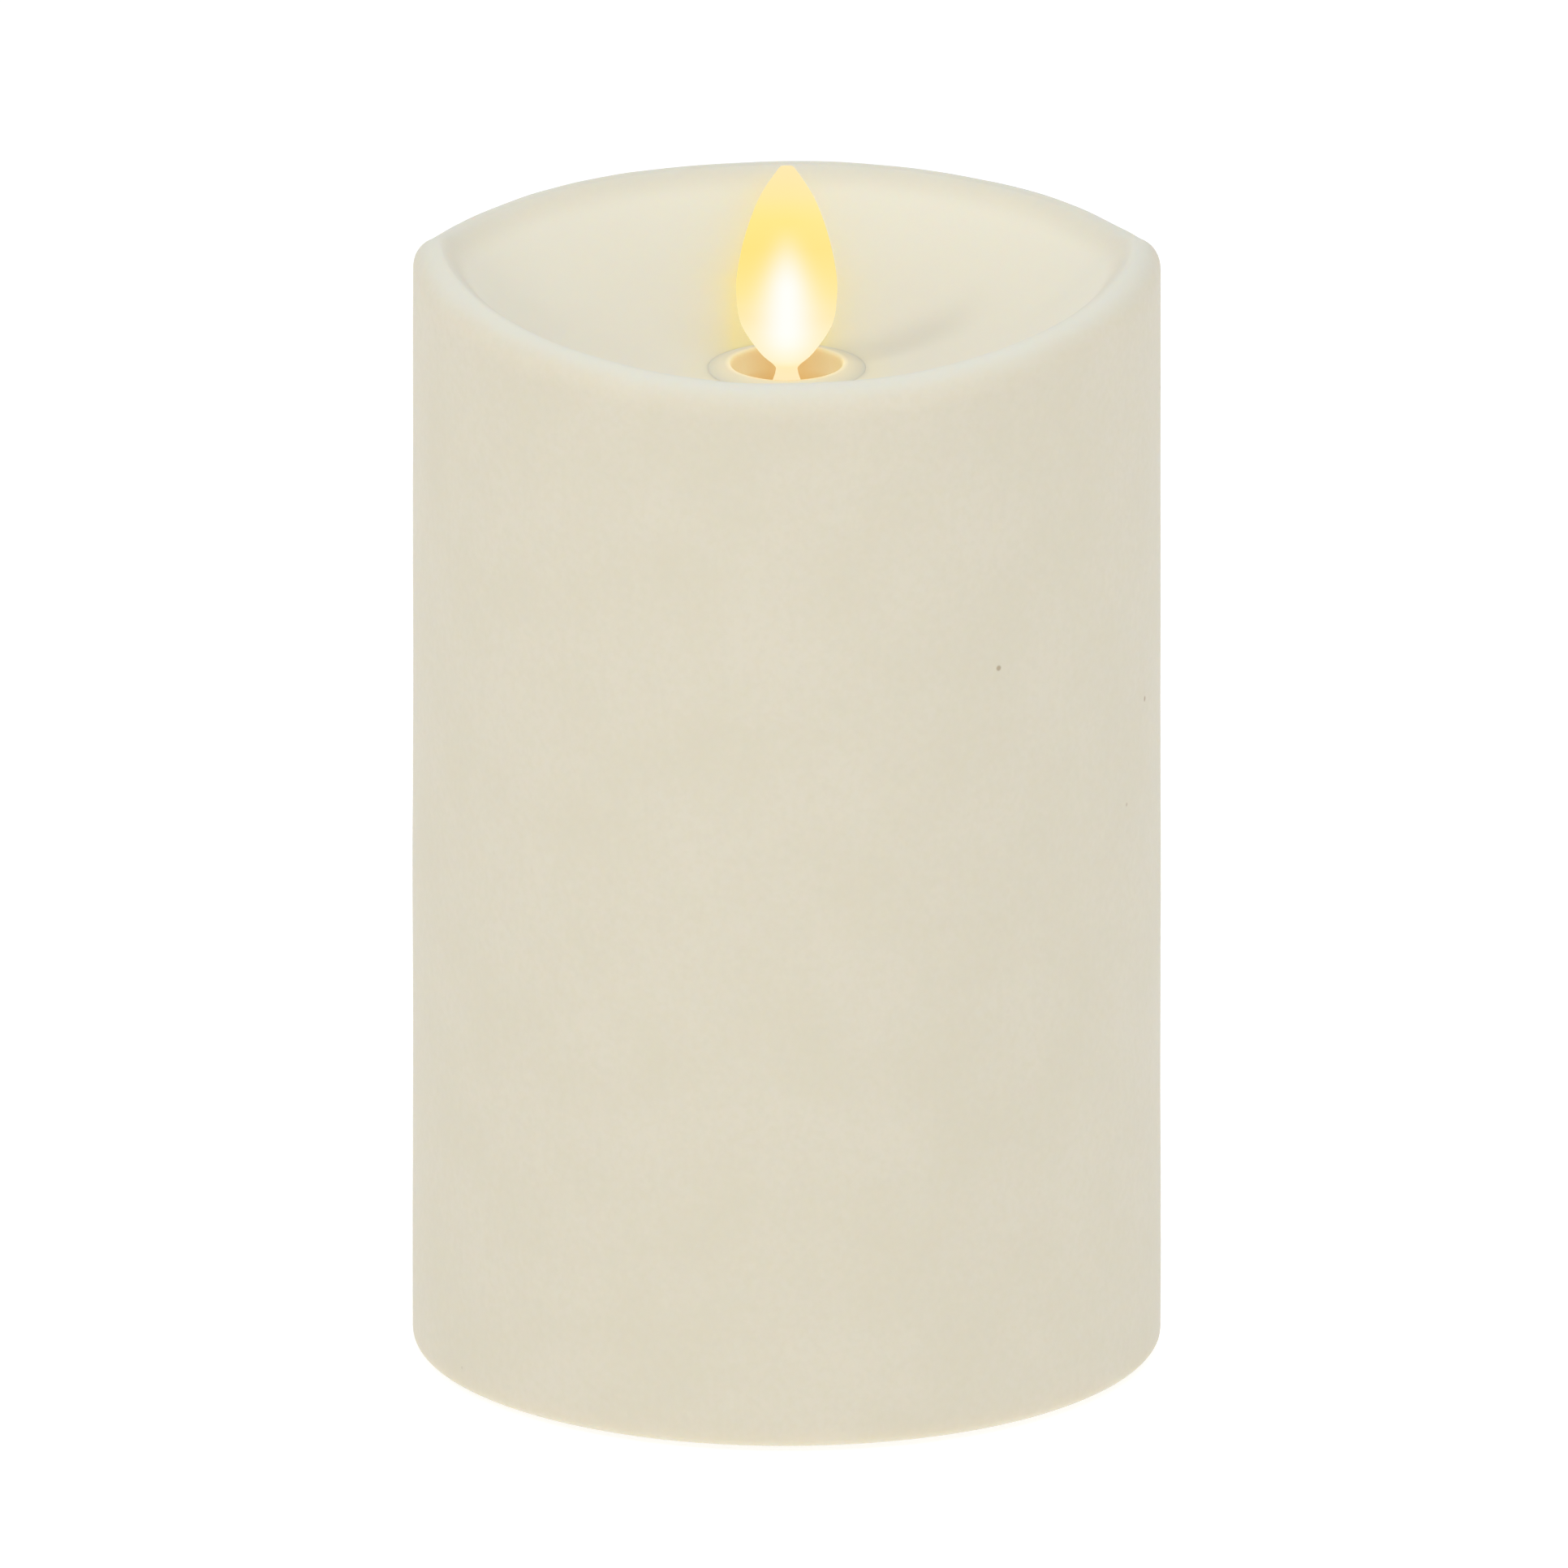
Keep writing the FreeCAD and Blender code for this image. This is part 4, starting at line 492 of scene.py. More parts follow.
@dataclass(frozen=True)
class LitFlame(Finish):
    """Frosted polycarbonate flame, lit by a warm lamp on each broad face.

    It gives the eye a deep yellow edge and tip round a soft white-hot heart that narrows
    upwards, and a peach neck.
    """

    foot_z_mm: float = 111.0
    tip_z_mm: float = 136.0
    edge_stops: tuple[tuple[float, str], ...] = (
        (0.0, "FFE6B4"), (0.084, "FEEBBE"), (0.152, "FEEEC0"), (0.244, "FEEDB6"),
        (0.30, "FDE9A9"), (0.416, "FFE895"), (0.528, "FEE68A"), (0.62, "FEE584"),
        (0.752, "FFE98C"), (0.812, "FFEA97"), (0.868, "FFEAA3"), (1.0, "FFE9AF"),
    )
    heart_stops: tuple[tuple[float, str], ...] = (
        (0.0, "FFE9BC"), (0.084, "FFECB8"), (0.112, "FEF3CB"), (0.152, "FEF8DE"),
        (0.196, "FFFDF1"), (0.244, "FFFEF9"),
    )
    heart_low_mm: float = 2.15
    heart_high_mm: float = 1.05
    heart_wide_z_mm: float = 120.0
    heart_thin_z_mm: float = 128.0
    heart_full_z_mm: float = 121.5
    heart_end_z_mm: float = 130.0
    paler_side: float = 0.06
    side_mm: float = 5.5
    unlit: str = "1C140A"
    lit_from_z_mm: float = 98.0
    lit_to_z_mm: float = 107.0
    lit_least: float = 0.2

    def shader(self, tree: bpy.types.NodeTree) -> bpy.types.Node:
        """Adds the flame's nodes and returns the Principled node that ends them."""
        parts = add_node(tree, "ShaderNodeSeparateXYZ", {0: self.place(tree)})
        across, up = parts.outputs["X"], parts.outputs["Z"]
        rise = add_node(
            tree, "ShaderNodeMapRange",
            {"Value": up, "From Min": self.foot_z_mm * MM, "From Max": self.tip_z_mm * MM},
        ).outputs["Result"]
        edge = add_node(
            tree, "ShaderNodeValToRGB", {"Fac": rise}, stops=list(self.edge_stops),
        )
        heart = add_node(
            tree, "ShaderNodeValToRGB", {"Fac": rise}, stops=list(self.heart_stops),
        )
        spread = add_node(
            tree, "ShaderNodeMapRange",
            {"Value": up, "From Min": self.heart_wide_z_mm * MM,
             "From Max": self.heart_thin_z_mm * MM, "To Min": self.heart_low_mm * MM,
             "To Max": self.heart_high_mm * MM},
        )
        share = add_node(
            tree, "ShaderNodeMath", {0: across, 1: spread.outputs["Result"]}, operation="DIVIDE",
        )
        squared = add_node(
            tree, "ShaderNodeMath", {0: share.outputs[0], 1: share.outputs[0]},
            operation="MULTIPLY",
        )
        halved = add_node(
            tree, "ShaderNodeMath", {0: squared.outputs[0], 1: -0.5}, operation="MULTIPLY",
        )
        bell = add_node(tree, "ShaderNodeMath", {0: halved.outputs[0]}, operation="EXPONENT")
        fade = add_node(
            tree, "ShaderNodeMapRange",
            {"Value": up, "From Min": self.heart_full_z_mm * MM,
             "From Max": self.heart_end_z_mm * MM, "To Min": 1.0, "To Max": 0.0},
            interpolation_type="SMOOTHSTEP",
        )
        hot = add_node(
            tree, "ShaderNodeMath", {0: bell.outputs[0], 1: fade.outputs["Result"]},
            operation="MULTIPLY",
        )
        side = add_node(
            tree, "ShaderNodeMapRange",
            {"Value": across, "From Min": 0.0, "From Max": self.side_mm * MM, "To Min": 0.0,
             "To Max": self.paler_side},
        )
        warm = add_node(
            tree, "ShaderNodeMath", {0: hot.outputs[0], 1: side.outputs["Result"]},
            operation="ADD", use_clamp=True,
        )
        colour = add_node(
            tree, "ShaderNodeMix",
            {"Factor": warm.outputs[0], 6: edge.outputs["Color"], 7: heart.outputs["Color"]},
            data_type="RGBA",
        )
        strength = add_node(
            tree, "ShaderNodeMapRange",
            {"Value": up, "From Min": self.lit_from_z_mm * MM, "From Max": self.lit_to_z_mm * MM,
             "To Min": self.lit_least},
        )
        return add_node(
            tree, "ShaderNodeBsdfPrincipled",
            {"Base Color": linear(self.unlit), "Roughness": 0.6, "IOR": 1.45,
             "Specular IOR Level": 0.1, "Emission Color": colour.outputs[2],
             "Emission Strength": strength.outputs["Result"]},
        )


@dataclass(frozen=True)
class MouldedPlastic(Finish):
    """Injection-moulded plastic from a spark-eroded tool.

    It gives the eye one even colour broken by a fine pebble grain and faint flow marks.
    """

    colour: str
    shade: str
    roughness: float = 0.45
    grain_mm: float = 0.35
    flow_mm: float = 18.0
    relief_mm: float = 0.03

    def shader(self, tree: bpy.types.NodeTree) -> bpy.types.Node:
        """Adds the plastic's nodes and returns the Principled node that ends them."""
        place = self.place(tree)
        flow = add_node(
            tree, "ShaderNodeTexNoise",
            {"Vector": place, "Scale": per_mm(self.flow_mm), "Detail": 4.0, "Distortion": 0.6},
        )
        colour = add_node(
            tree, "ShaderNodeMix",
            {"Factor": flow.outputs["Fac"], 6: linear(self.shade), 7: linear(self.colour)},
            data_type="RGBA",
        )
        grain = add_node(
            tree, "ShaderNodeTexVoronoi", {"Vector": place, "Scale": per_mm(self.grain_mm)},
            feature="SMOOTH_F1",
        )
        skin = add_node(
            tree, "ShaderNodeBump",
            {"Height": grain.outputs["Distance"], "Strength": 0.5,
             "Distance": self.relief_mm * MM},
        )
        return add_node(
            tree, "ShaderNodeBsdfPrincipled",
            {"Base Color": colour.outputs[2], "Roughness": self.roughness, "IOR": 1.53,
             "Normal": skin.outputs["Normal"]},
        )


@dataclass(frozen=True)
class MouldedRubber(Finish):
    """Compression-moulded nitrile rubber.

    It gives the eye a dull warm grey with dusty lighter patches and almost no gloss.
    """

    colour: str = "ADABA6"
    dust: str = "BDBAB2"
    dust_mm: float = 1.6

    def shader(self, tree: bpy.types.NodeTree) -> bpy.types.Node:
        """Adds the rubber's nodes and returns the Principled node that ends them."""
        dust = add_node(
            tree, "ShaderNodeTexNoise",
            {"Vector": self.place(tree), "Scale": per_mm(self.dust_mm), "Detail": 5.0},
        )
        colour = add_node(
            tree, "ShaderNodeMix",
            {"Factor": dust.outputs["Fac"], 6: linear(self.colour), 7: linear(self.dust)},
            data_type="RGBA",
        )
        skin = add_node(
            tree, "ShaderNodeBump",
            {"Height": dust.outputs["Fac"], "Strength": 0.4, "Distance": 0.05 * MM},
        )
        return add_node(
            tree, "ShaderNodeBsdfPrincipled",
            {"Base Color": colour.outputs[2], "Roughness": 0.82, "IOR": 1.52,
             "Specular IOR Level": 0.3, "Normal": skin.outputs["Normal"]},
        )


class Draw(Enum):
    """Which way the marks on a metal run."""

    ROUND = (1.0, 1.0, 1.0)
    UPRIGHT = (1.0, 1.0, 0.08)
    SIDEWAYS = (0.08, 1.0, 1.0)


@dataclass(frozen=True)
class PlatedMetal(Finish):
    """Metal plated after forming, or bare where it is drawn.

    It gives the eye a bright surface whose gloss is broken by fine marks along the forming
    direction and by slightly tarnished patches.
    """

    colour: str
    tarnish: str
    roughness: float = 0.28
    marks_mm: float = 0.4
    draw: Draw = Draw.ROUND
    duller: float = 0.12
    glossier: float = 0.08

    def shader(self, tree: bpy.types.NodeTree) -> bpy.types.Node:
        """Adds the metal's nodes and returns the Principled node that ends them."""
        stretched = add_node(
            tree, "ShaderNodeMapping", {"Vector": self.place(tree), "Scale": self.draw.value},
        )
        marks = add_node(
            tree, "ShaderNodeTexNoise",
            {"Vector": stretched.outputs[0], "Scale": per_mm(self.marks_mm), "Detail": 4.0},
        )
        colour = add_node(
            tree, "ShaderNodeMix",
            {"Factor": marks.outputs["Fac"], 6: linear(self.tarnish), 7: linear(self.colour)},
            data_type="RGBA",
        )
        gloss = add_node(
            tree, "ShaderNodeMapRange",
            {"Value": marks.outputs["Fac"], "To Min": self.roughness + self.duller,
             "To Max": self.roughness - self.glossier},
        )
        skin = add_node(
            tree, "ShaderNodeBump",
            {"Height": marks.outputs["Fac"], "Strength": 0.25, "Distance": 0.02 * MM},
        )
        return add_node(
            tree, "ShaderNodeBsdfPrincipled",
            {"Base Color": colour.outputs[2], "Metallic": 1.0,
             "Roughness": gloss.outputs["Result"], "Normal": skin.outputs["Normal"]},
        )


@dataclass(frozen=True)
class CopperWinding(Finish):
    """Enamelled copper wire wound in layers on a bobbin.

    It gives the eye glossy orange-brown turns side by side, with painted shade in the grooves
    between them. The wire is 0.1 mm and is drawn as 0.4 mm turns so that they show.
    """

    bright: str = "C8763C"
    # painted shade: the darker colour laid in the grooves between the turns
    painted_groove_shade: str = "7A3F1D"
    turn_mm: float = 0.4

    def shader(self, tree: bpy.types.NodeTree) -> bpy.types.Node:
        """Adds the winding's nodes and returns the Principled node that ends them."""
        turns = add_node(
            tree, "ShaderNodeTexWave",
            {"Vector": self.place(tree), "Scale": per_mm(self.turn_mm) / WAVE_REPEATS,
             "Distortion": 0.15, "Detail": 1.0},
            bands_direction="Z", wave_profile="SIN",
        )
        colour = add_node(
            tree, "ShaderNodeMix",
            {"Factor": turns.outputs["Fac"], 6: linear(self.painted_groove_shade), 7: linear(self.bright)},
            data_type="RGBA",
        )
        skin = add_node(
            tree, "ShaderNodeBump",
            {"Height": turns.outputs["Fac"], "Strength": 0.8, "Distance": 0.12 * MM},
        )
        return add_node(
            tree, "ShaderNodeBsdfPrincipled",
            {"Base Color": colour.outputs[2], "Metallic": 0.85, "Roughness": 0.3,
             "Coat Weight": 0.5, "Coat Roughness": 0.15, "Normal": skin.outputs["Normal"]},
        )


@dataclass(frozen=True)
class ShrinkFilm(Finish):
    """Printed PVC film shrunk onto a can.

    It gives the eye a glossy dark film with a pale printed band at each end and faint
    shrinkage ripples.
    """

    film: str
    band: str
    low_mm: float
    high_mm: float
    band_mm: float = 5.0
    ripple_mm: float = 3.0

    def shader(self, tree: bpy.types.NodeTree) -> bpy.types.Node:
        """Adds the film's nodes and returns the Principled node that ends them."""
        place = self.place(tree)
        up = add_node(tree, "ShaderNodeSeparateXYZ", {0: place}).outputs["Z"]
        middle = (self.low_mm + self.high_mm) / 2 * MM
        away = add_node(tree, "ShaderNodeMath", {0: up, 1: middle}, operation="SUBTRACT")
        reach = add_node(tree, "ShaderNodeMath", {0: away.outputs[0]}, operation="ABSOLUTE")
        half = (self.high_mm - self.low_mm) / 2 - self.band_mm
        banded = add_node(
            tree, "ShaderNodeMath", {0: reach.outputs[0], 1: half * MM},
            operation="GREATER_THAN",
        )
        colour = add_node(
            tree, "ShaderNodeMix",
            {"Factor": banded.outputs[0], 6: linear(self.film), 7: linear(self.band)},
            data_type="RGBA",
        )
        ripple = add_node(
            tree, "ShaderNodeTexNoise",
            {"Vector": place, "Scale": per_mm(self.ripple_mm), "Detail": 2.0},
        )
        skin = add_node(
            tree, "ShaderNodeBump",
            {"Height": ripple.outputs["Fac"], "Strength": 0.2, "Distance": 0.1 * MM},
        )
        return add_node(
            tree, "ShaderNodeBsdfPrincipled",
            {"Base Color": colour.outputs[2], "Roughness": 0.22, "IOR": 1.53,
             "Coat Weight": 0.3, "Coat Roughness": 0.1, "Normal": skin.outputs["Normal"]},
        )


@dataclass(frozen=True)
class SolderMask(Finish):
    """Glass-epoxy circuit board under green solder mask.

    It gives the eye a glossy deep green with slightly lighter copper tracks under it on a
    2.54 mm grid, each edged by a small step.
    """

    mask: str = "0F5A33"
    track: str = "1F7A48"
    pitch_mm: float = 2.54
    track_mm: float = 0.5

    def shader(self, tree: bpy.types.NodeTree) -> bpy.types.Node:
        """Adds the board's nodes and returns the Principled node that ends them."""
        tracks = add_node(
            tree, "ShaderNodeTexBrick",
            {"Vector": self.place(tree), "Scale": per_mm(self.pitch_mm),
             "Mortar Size": self.track_mm / self.pitch_mm / 2, "Mortar Smooth": 0.3,
             "Brick Width": 4.0, "Row Height": 1.0, "Color1": linear(self.mask),
             "Color2": linear(self.mask), "Mortar": linear(self.track)},
        )
        skin = add_node(
            tree, "ShaderNodeBump",
            {"Height": tracks.outputs["Fac"], "Strength": 0.6, "Distance": 0.035 * MM},
        )
        return add_node(
            tree, "ShaderNodeBsdfPrincipled",
            {"Base Color": tracks.outputs["Color"], "Roughness": 0.28, "IOR": 1.55,
             "Coat Weight": 0.4, "Normal": skin.outputs["Normal"]},
        )


@dataclass(frozen=True)
class LampEpoxy(Finish):
    """Cast epoxy lens of a lit lamp.

    It gives the eye a warm white tip that glows amber towards its flange.
    """

    lit: str = "FFE2A0"
    amber: str = "F0A040"
    low_mm: float = 98.0
    high_mm: float = 104.6

    def shader(self, tree: bpy.types.NodeTree) -> bpy.types.Node:
        """Adds the lens's nodes and returns the Principled node that ends them."""
        up = add_node(tree, "ShaderNodeSeparateXYZ", {0: self.place(tree)}).outputs["Z"]
        rise = add_node(
            tree, "ShaderNodeMapRange",
            {"Value": up, "From Min": self.low_mm * MM, "From Max": self.high_mm * MM},
        )
        colour = add_node(
            tree, "ShaderNodeValToRGB", {"Fac": rise.outputs["Result"]},
            stops=[(0.0, self.amber), (1.0, self.lit)],
        )
        return add_node(
            tree, "ShaderNodeBsdfPrincipled",
            {"Base Color": linear(self.amber), "Roughness": 0.12, "IOR": 1.54,
             "Emission Color": colour.outputs["Color"], "Emission Strength": 2.0},
        )


@dataclass(frozen=True)
class DrawnPvc(Finish):
    """PVC insulation extruded over a stranded wire.

    It gives the eye a satin colour with the strands' twist showing faintly through it.
    """

    colour: str
    dull: str
    twist_mm: float = 1.2

    def shader(self, tree: bpy.types.NodeTree) -> bpy.types.Node:
        """Adds the insulation's nodes and returns the Principled node that ends them."""
        twist = add_node(
            tree, "ShaderNodeTexWave",
            {"Vector": self.place(tree), "Scale": per_mm(self.twist_mm) / WAVE_REPEATS,
             "Distortion": 1.0},
            bands_direction="DIAGONAL",
        )
        colour = add_node(
            tree, "ShaderNodeMix",
            {"Factor": twist.outputs["Fac"], 6: linear(self.dull), 7: linear(self.colour)},
            data_type="RGBA",
        )
        skin = add_node(
            tree, "ShaderNodeBump",
            {"Height": twist.outputs["Fac"], "Strength": 0.15, "Distance": 0.04 * MM},
        )
        return add_node(
            tree, "ShaderNodeBsdfPrincipled",
            {"Base Color": colour.outputs[2], "Roughness": 0.36, "IOR": 1.53,
             "Normal": skin.outputs["Normal"]},
        )


@dataclass(frozen=True)
class HotGlue(Finish):
    """Hot-melt glue laid as a bead and cooled.

    It gives the eye a milky, half-clear bead with a wet gloss and a lumpy surface.
    """

    colour: str = "EBE6D2"
    cloudy: str = "D9D2B8"
    lump_mm: float = 3.5

    def shader(self, tree: bpy.types.NodeTree) -> bpy.types.Node:
        """Adds the glue's nodes and returns the Principled node that ends them."""
        lumps = add_node(
            tree, "ShaderNodeTexNoise",
            {"Vector": self.place(tree), "Scale": per_mm(self.lump_mm), "Detail": 2.0},
        )
        colour = add_node(
            tree, "ShaderNodeMix",
            {"Factor": lumps.outputs["Fac"], 6: linear(self.cloudy), 7: linear(self.colour)},
            data_type="RGBA",
        )
        skin = add_node(
            tree, "ShaderNodeBump",
            {"Height": lumps.outputs["Fac"], "Strength": 0.7, "Distance": 0.3 * MM},
        )
        return add_node(
            tree, "ShaderNodeBsdfPrincipled",
            {"Base Color": colour.outputs[2], "Roughness": 0.2, "IOR": 1.48,
             "Subsurface Weight": 0.5, "Subsurface Radius": (1.0, 0.9, 0.7),
             "Subsurface Scale": 1.5 * MM, "Normal": skin.outputs["Normal"]},
        )


WAX = CandleWax("paraffin_poured", "wax")
RING = LitRing("polypropylene_ring_lit", "ring_wax")
FLAME = LitFlame("polycarbonate_frosted_lit", "flame")
FROSTED = MouldedPlastic("polycarbonate_frosted_moulded", "flame", "EFE9D8", "E4DDC8", 0.5)
NATURAL_ABS = MouldedPlastic("abs_natural_moulded", "core_plastic", "EAE7DC", "DEDACC")
IVORY_ABS = MouldedPlastic("abs_ivory_moulded", "base_plastic", "E9E4D2", "DFD9C4", 0.5, 0.5)
BLACK_ABS = MouldedPlastic("abs_black_moulded", "dark_plastic", "1C1C1E", "141416", 0.38, 0.3)
CHIP_EPOXY = MouldedPlastic("epoxy_black_moulded", "chip_black", "1B1B1D", "151517", 0.6, 0.18)
FOOT_RUBBER = MouldedRubber("nitrile_rubber_moulded", "rubber")
ZINC = PlatedMetal("steel_zinc_plated", "steel_zinc", "D6D7D8", "B9BBBE", 0.34)
NICKEL = PlatedMetal("steel_nickel_plated", "steel_nickel", "E0DDD6", "C9C4BA", 0.22)
CAN_STEEL = PlatedMetal(
    "steel_can_drawn", "cell_can", "D9D9D6", "C4C4C2", 0.3, 0.6, Draw.UPRIGHT
)
TINNED_BRASS = PlatedMetal(
    "brass_tinned_stamped", "contact_brass", "DCCF9F", "C6B47C", 0.3, 0.5, Draw.SIDEWAYS
)
BARE_COPPER = PlatedMetal("copper_enamelled_drawn", "copper", "C8763C", "A85A2A", 0.3, 0.5)
WINDING = CopperWinding("copper_enamelled_wound", "copper")
MASKED_BOARD = SolderMask("glass_epoxy_masked", "board_green")
LENS = LampEpoxy("epoxy_cast_lit", "lamp_amber")
RED_PVC = DrawnPvc("pvc_red_drawn", "wire_red", "B3231C", "95170F")
BLACK_PVC = DrawnPvc("pvc_black_drawn", "wire_black", "262626", "181818")
WHITE_PVC = DrawnPvc("pvc_white_drawn", "wire_white", "E6E5E0", "D2D0C8")
GLUE = HotGlue("hot_melt_laid", "glue")


def sleeve_of(node: str, slot: str, film: str, band: str, band_mm: float) -> ShrinkFilm:
    """Makes a shrink film whose bands fit a CAD node.

    Args:
        node: the CAD node it covers.
        slot: the record's slot.
        film: the film's hex colour.
        band: its bands' hex colour.
        band_mm: height of a band.

    Returns:
        The finish.
    """
    low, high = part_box(node)
    return ShrinkFilm(f"pvc_film_{slot}", slot, film, band, low.z / MM, high.z / MM, band_mm)


# ---- making and dressing pieces -----------------------------------------------------------
def finished_piece(
    bm: bmesh.types.BMesh, name: str, finish: Finish, body: str, stands_for: tuple[str, ...] = ()
) -> bpy.types.Object:
    """Turns a millimetre bmesh into a piece in metres that rides on a CAD body.

    Args:
        bm: the shape. It is freed.
        name: the piece's name.
        finish: its finish.
        body: the CAD body it moves with.
        stands_for: CAD nodes it replaces.

    Returns:
        The piece's object, at the origin.
    """
    bmesh.ops.remove_doubles(bm, verts=bm.verts, dist=WELD_MM)
    bmesh.ops.recalc_face_normals(bm, faces=bm.faces)
    for face in bm.faces:
        face.smooth = True
    for edge in bm.edges:
        edge.smooth = edge.calc_face_angle(0.0) < SHARP_ANGLE
    bmesh.ops.scale(bm, vec=(MM, MM, MM), verts=bm.verts)
    mesh = bpy.data.meshes.new(name)
    bm.to_mesh(mesh)
    bm.free()
    mesh.materials.append(material_of(finish))
    piece = bpy.data.objects.new(name, mesh)
    bpy.context.scene.collection.objects.link(piece)
    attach(piece, body)
    if stands_for:
        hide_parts(*stands_for)
    log.info("%s: %d faces, rides on %s", name, len(mesh.polygons), body)
    return piece


def dress(finishes: dict[str, Finish]) -> None:
    """Gives CAD nodes their materials and leaves their meshes alone.

    Args:
        finishes: CAD node name to finish.
    """
    for node, finish in finishes.items():
        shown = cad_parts[node]
        if not shown.material_slots:
            shown.data.materials.append(None)
        for slot in shown.material_slots:
            slot.material = material_of(finish)
        log.info("%s: CAD node in %s", node, finish.name)


def outline(bm: bmesh.types.BMesh, points: list[tuple[float, float]], closed: bool) -> list:
    """Draws a run of edges in the XZ plane for a spin or an extrusion.

    Args:
        bm: where it is drawn.
        points: its (x, z) corners in millimetres.
        closed: whether the last corner joins the first.

    Returns:
        The corners' vertices in order.
    """
    corners = [bm.verts.new((x, 0, z)) for x, z in points]
    for a, b in zip(corners, corners[1:]):
        bm.edges.new((a, b))
    if closed:
        bm.edges.new((corners[-1], corners[0]))
    return corners


def round_corner(bm: bmesh.types.BMesh, corner: bmesh.types.BMVert, reach: float,
                 segments: int) -> None:
    """Rounds one corner of an outline.

    Args:
        bm: the outline's mesh.
        corner: the corner.
        reach: how far along each edge the rounding starts.
        segments: edges round it.
    """
    bmesh.ops.bevel(
        bm, geom=[corner], offset=reach, offset_type="OFFSET", segments=segments,
        profile=0.5, affect="VERTICES", material=-1,
    )


def spin_full(bm: bmesh.types.BMesh, steps: int) -> None:
    """Spins everything once round the candle's axis and closes the seam.

    Args:
        bm: the outline's mesh.
        steps: how many steps a turn takes.
    """
    bmesh.ops.spin(
        bm, geom=bm.verts[:] + bm.edges[:], cent=(0, 0, 0), axis=(0, 0, 1),
        angle=math.tau, steps=steps, use_merge=True, use_duplicate=False,
    )


def reshape(bm: bmesh.types.BMesh, rule: Callable[[Vector], Vector]) -> None:
    """Moves every vertex by a rule.

    Args:
        bm: the mesh.
        rule: gives a vertex's new place from its old one.
    """
    for vertex in bm.verts:
        vertex.co = rule(vertex.co.copy())


def drawn_through(points: list[tuple[float, float]], per_span: int) -> list[tuple[float, float]]:
    """Draws a smooth line through a few points.

    Args:
        points: (x, z) points.
        per_span: how many points each span gets.

    Returns:
        The line's points.
    """
    knots = [Vector(p) for p in points]
    line: list[Vector] = []
    for i in range(len(knots) - 1):
        before, a, b = knots[max(i - 1, 0)], knots[i], knots[i + 1]
        after = knots[min(i + 2, len(knots) - 1)]
        run = geometry.interpolate_bezier(
            a, a + (b - before) / 6, b - (after - a) / 6, b, per_span + 1
        )
        line += [Vector(p[:2]) for p in run[:-1]]
    return [(max(p.x, 0.0), p.y) for p in line] + [tuple(knots[-1])]


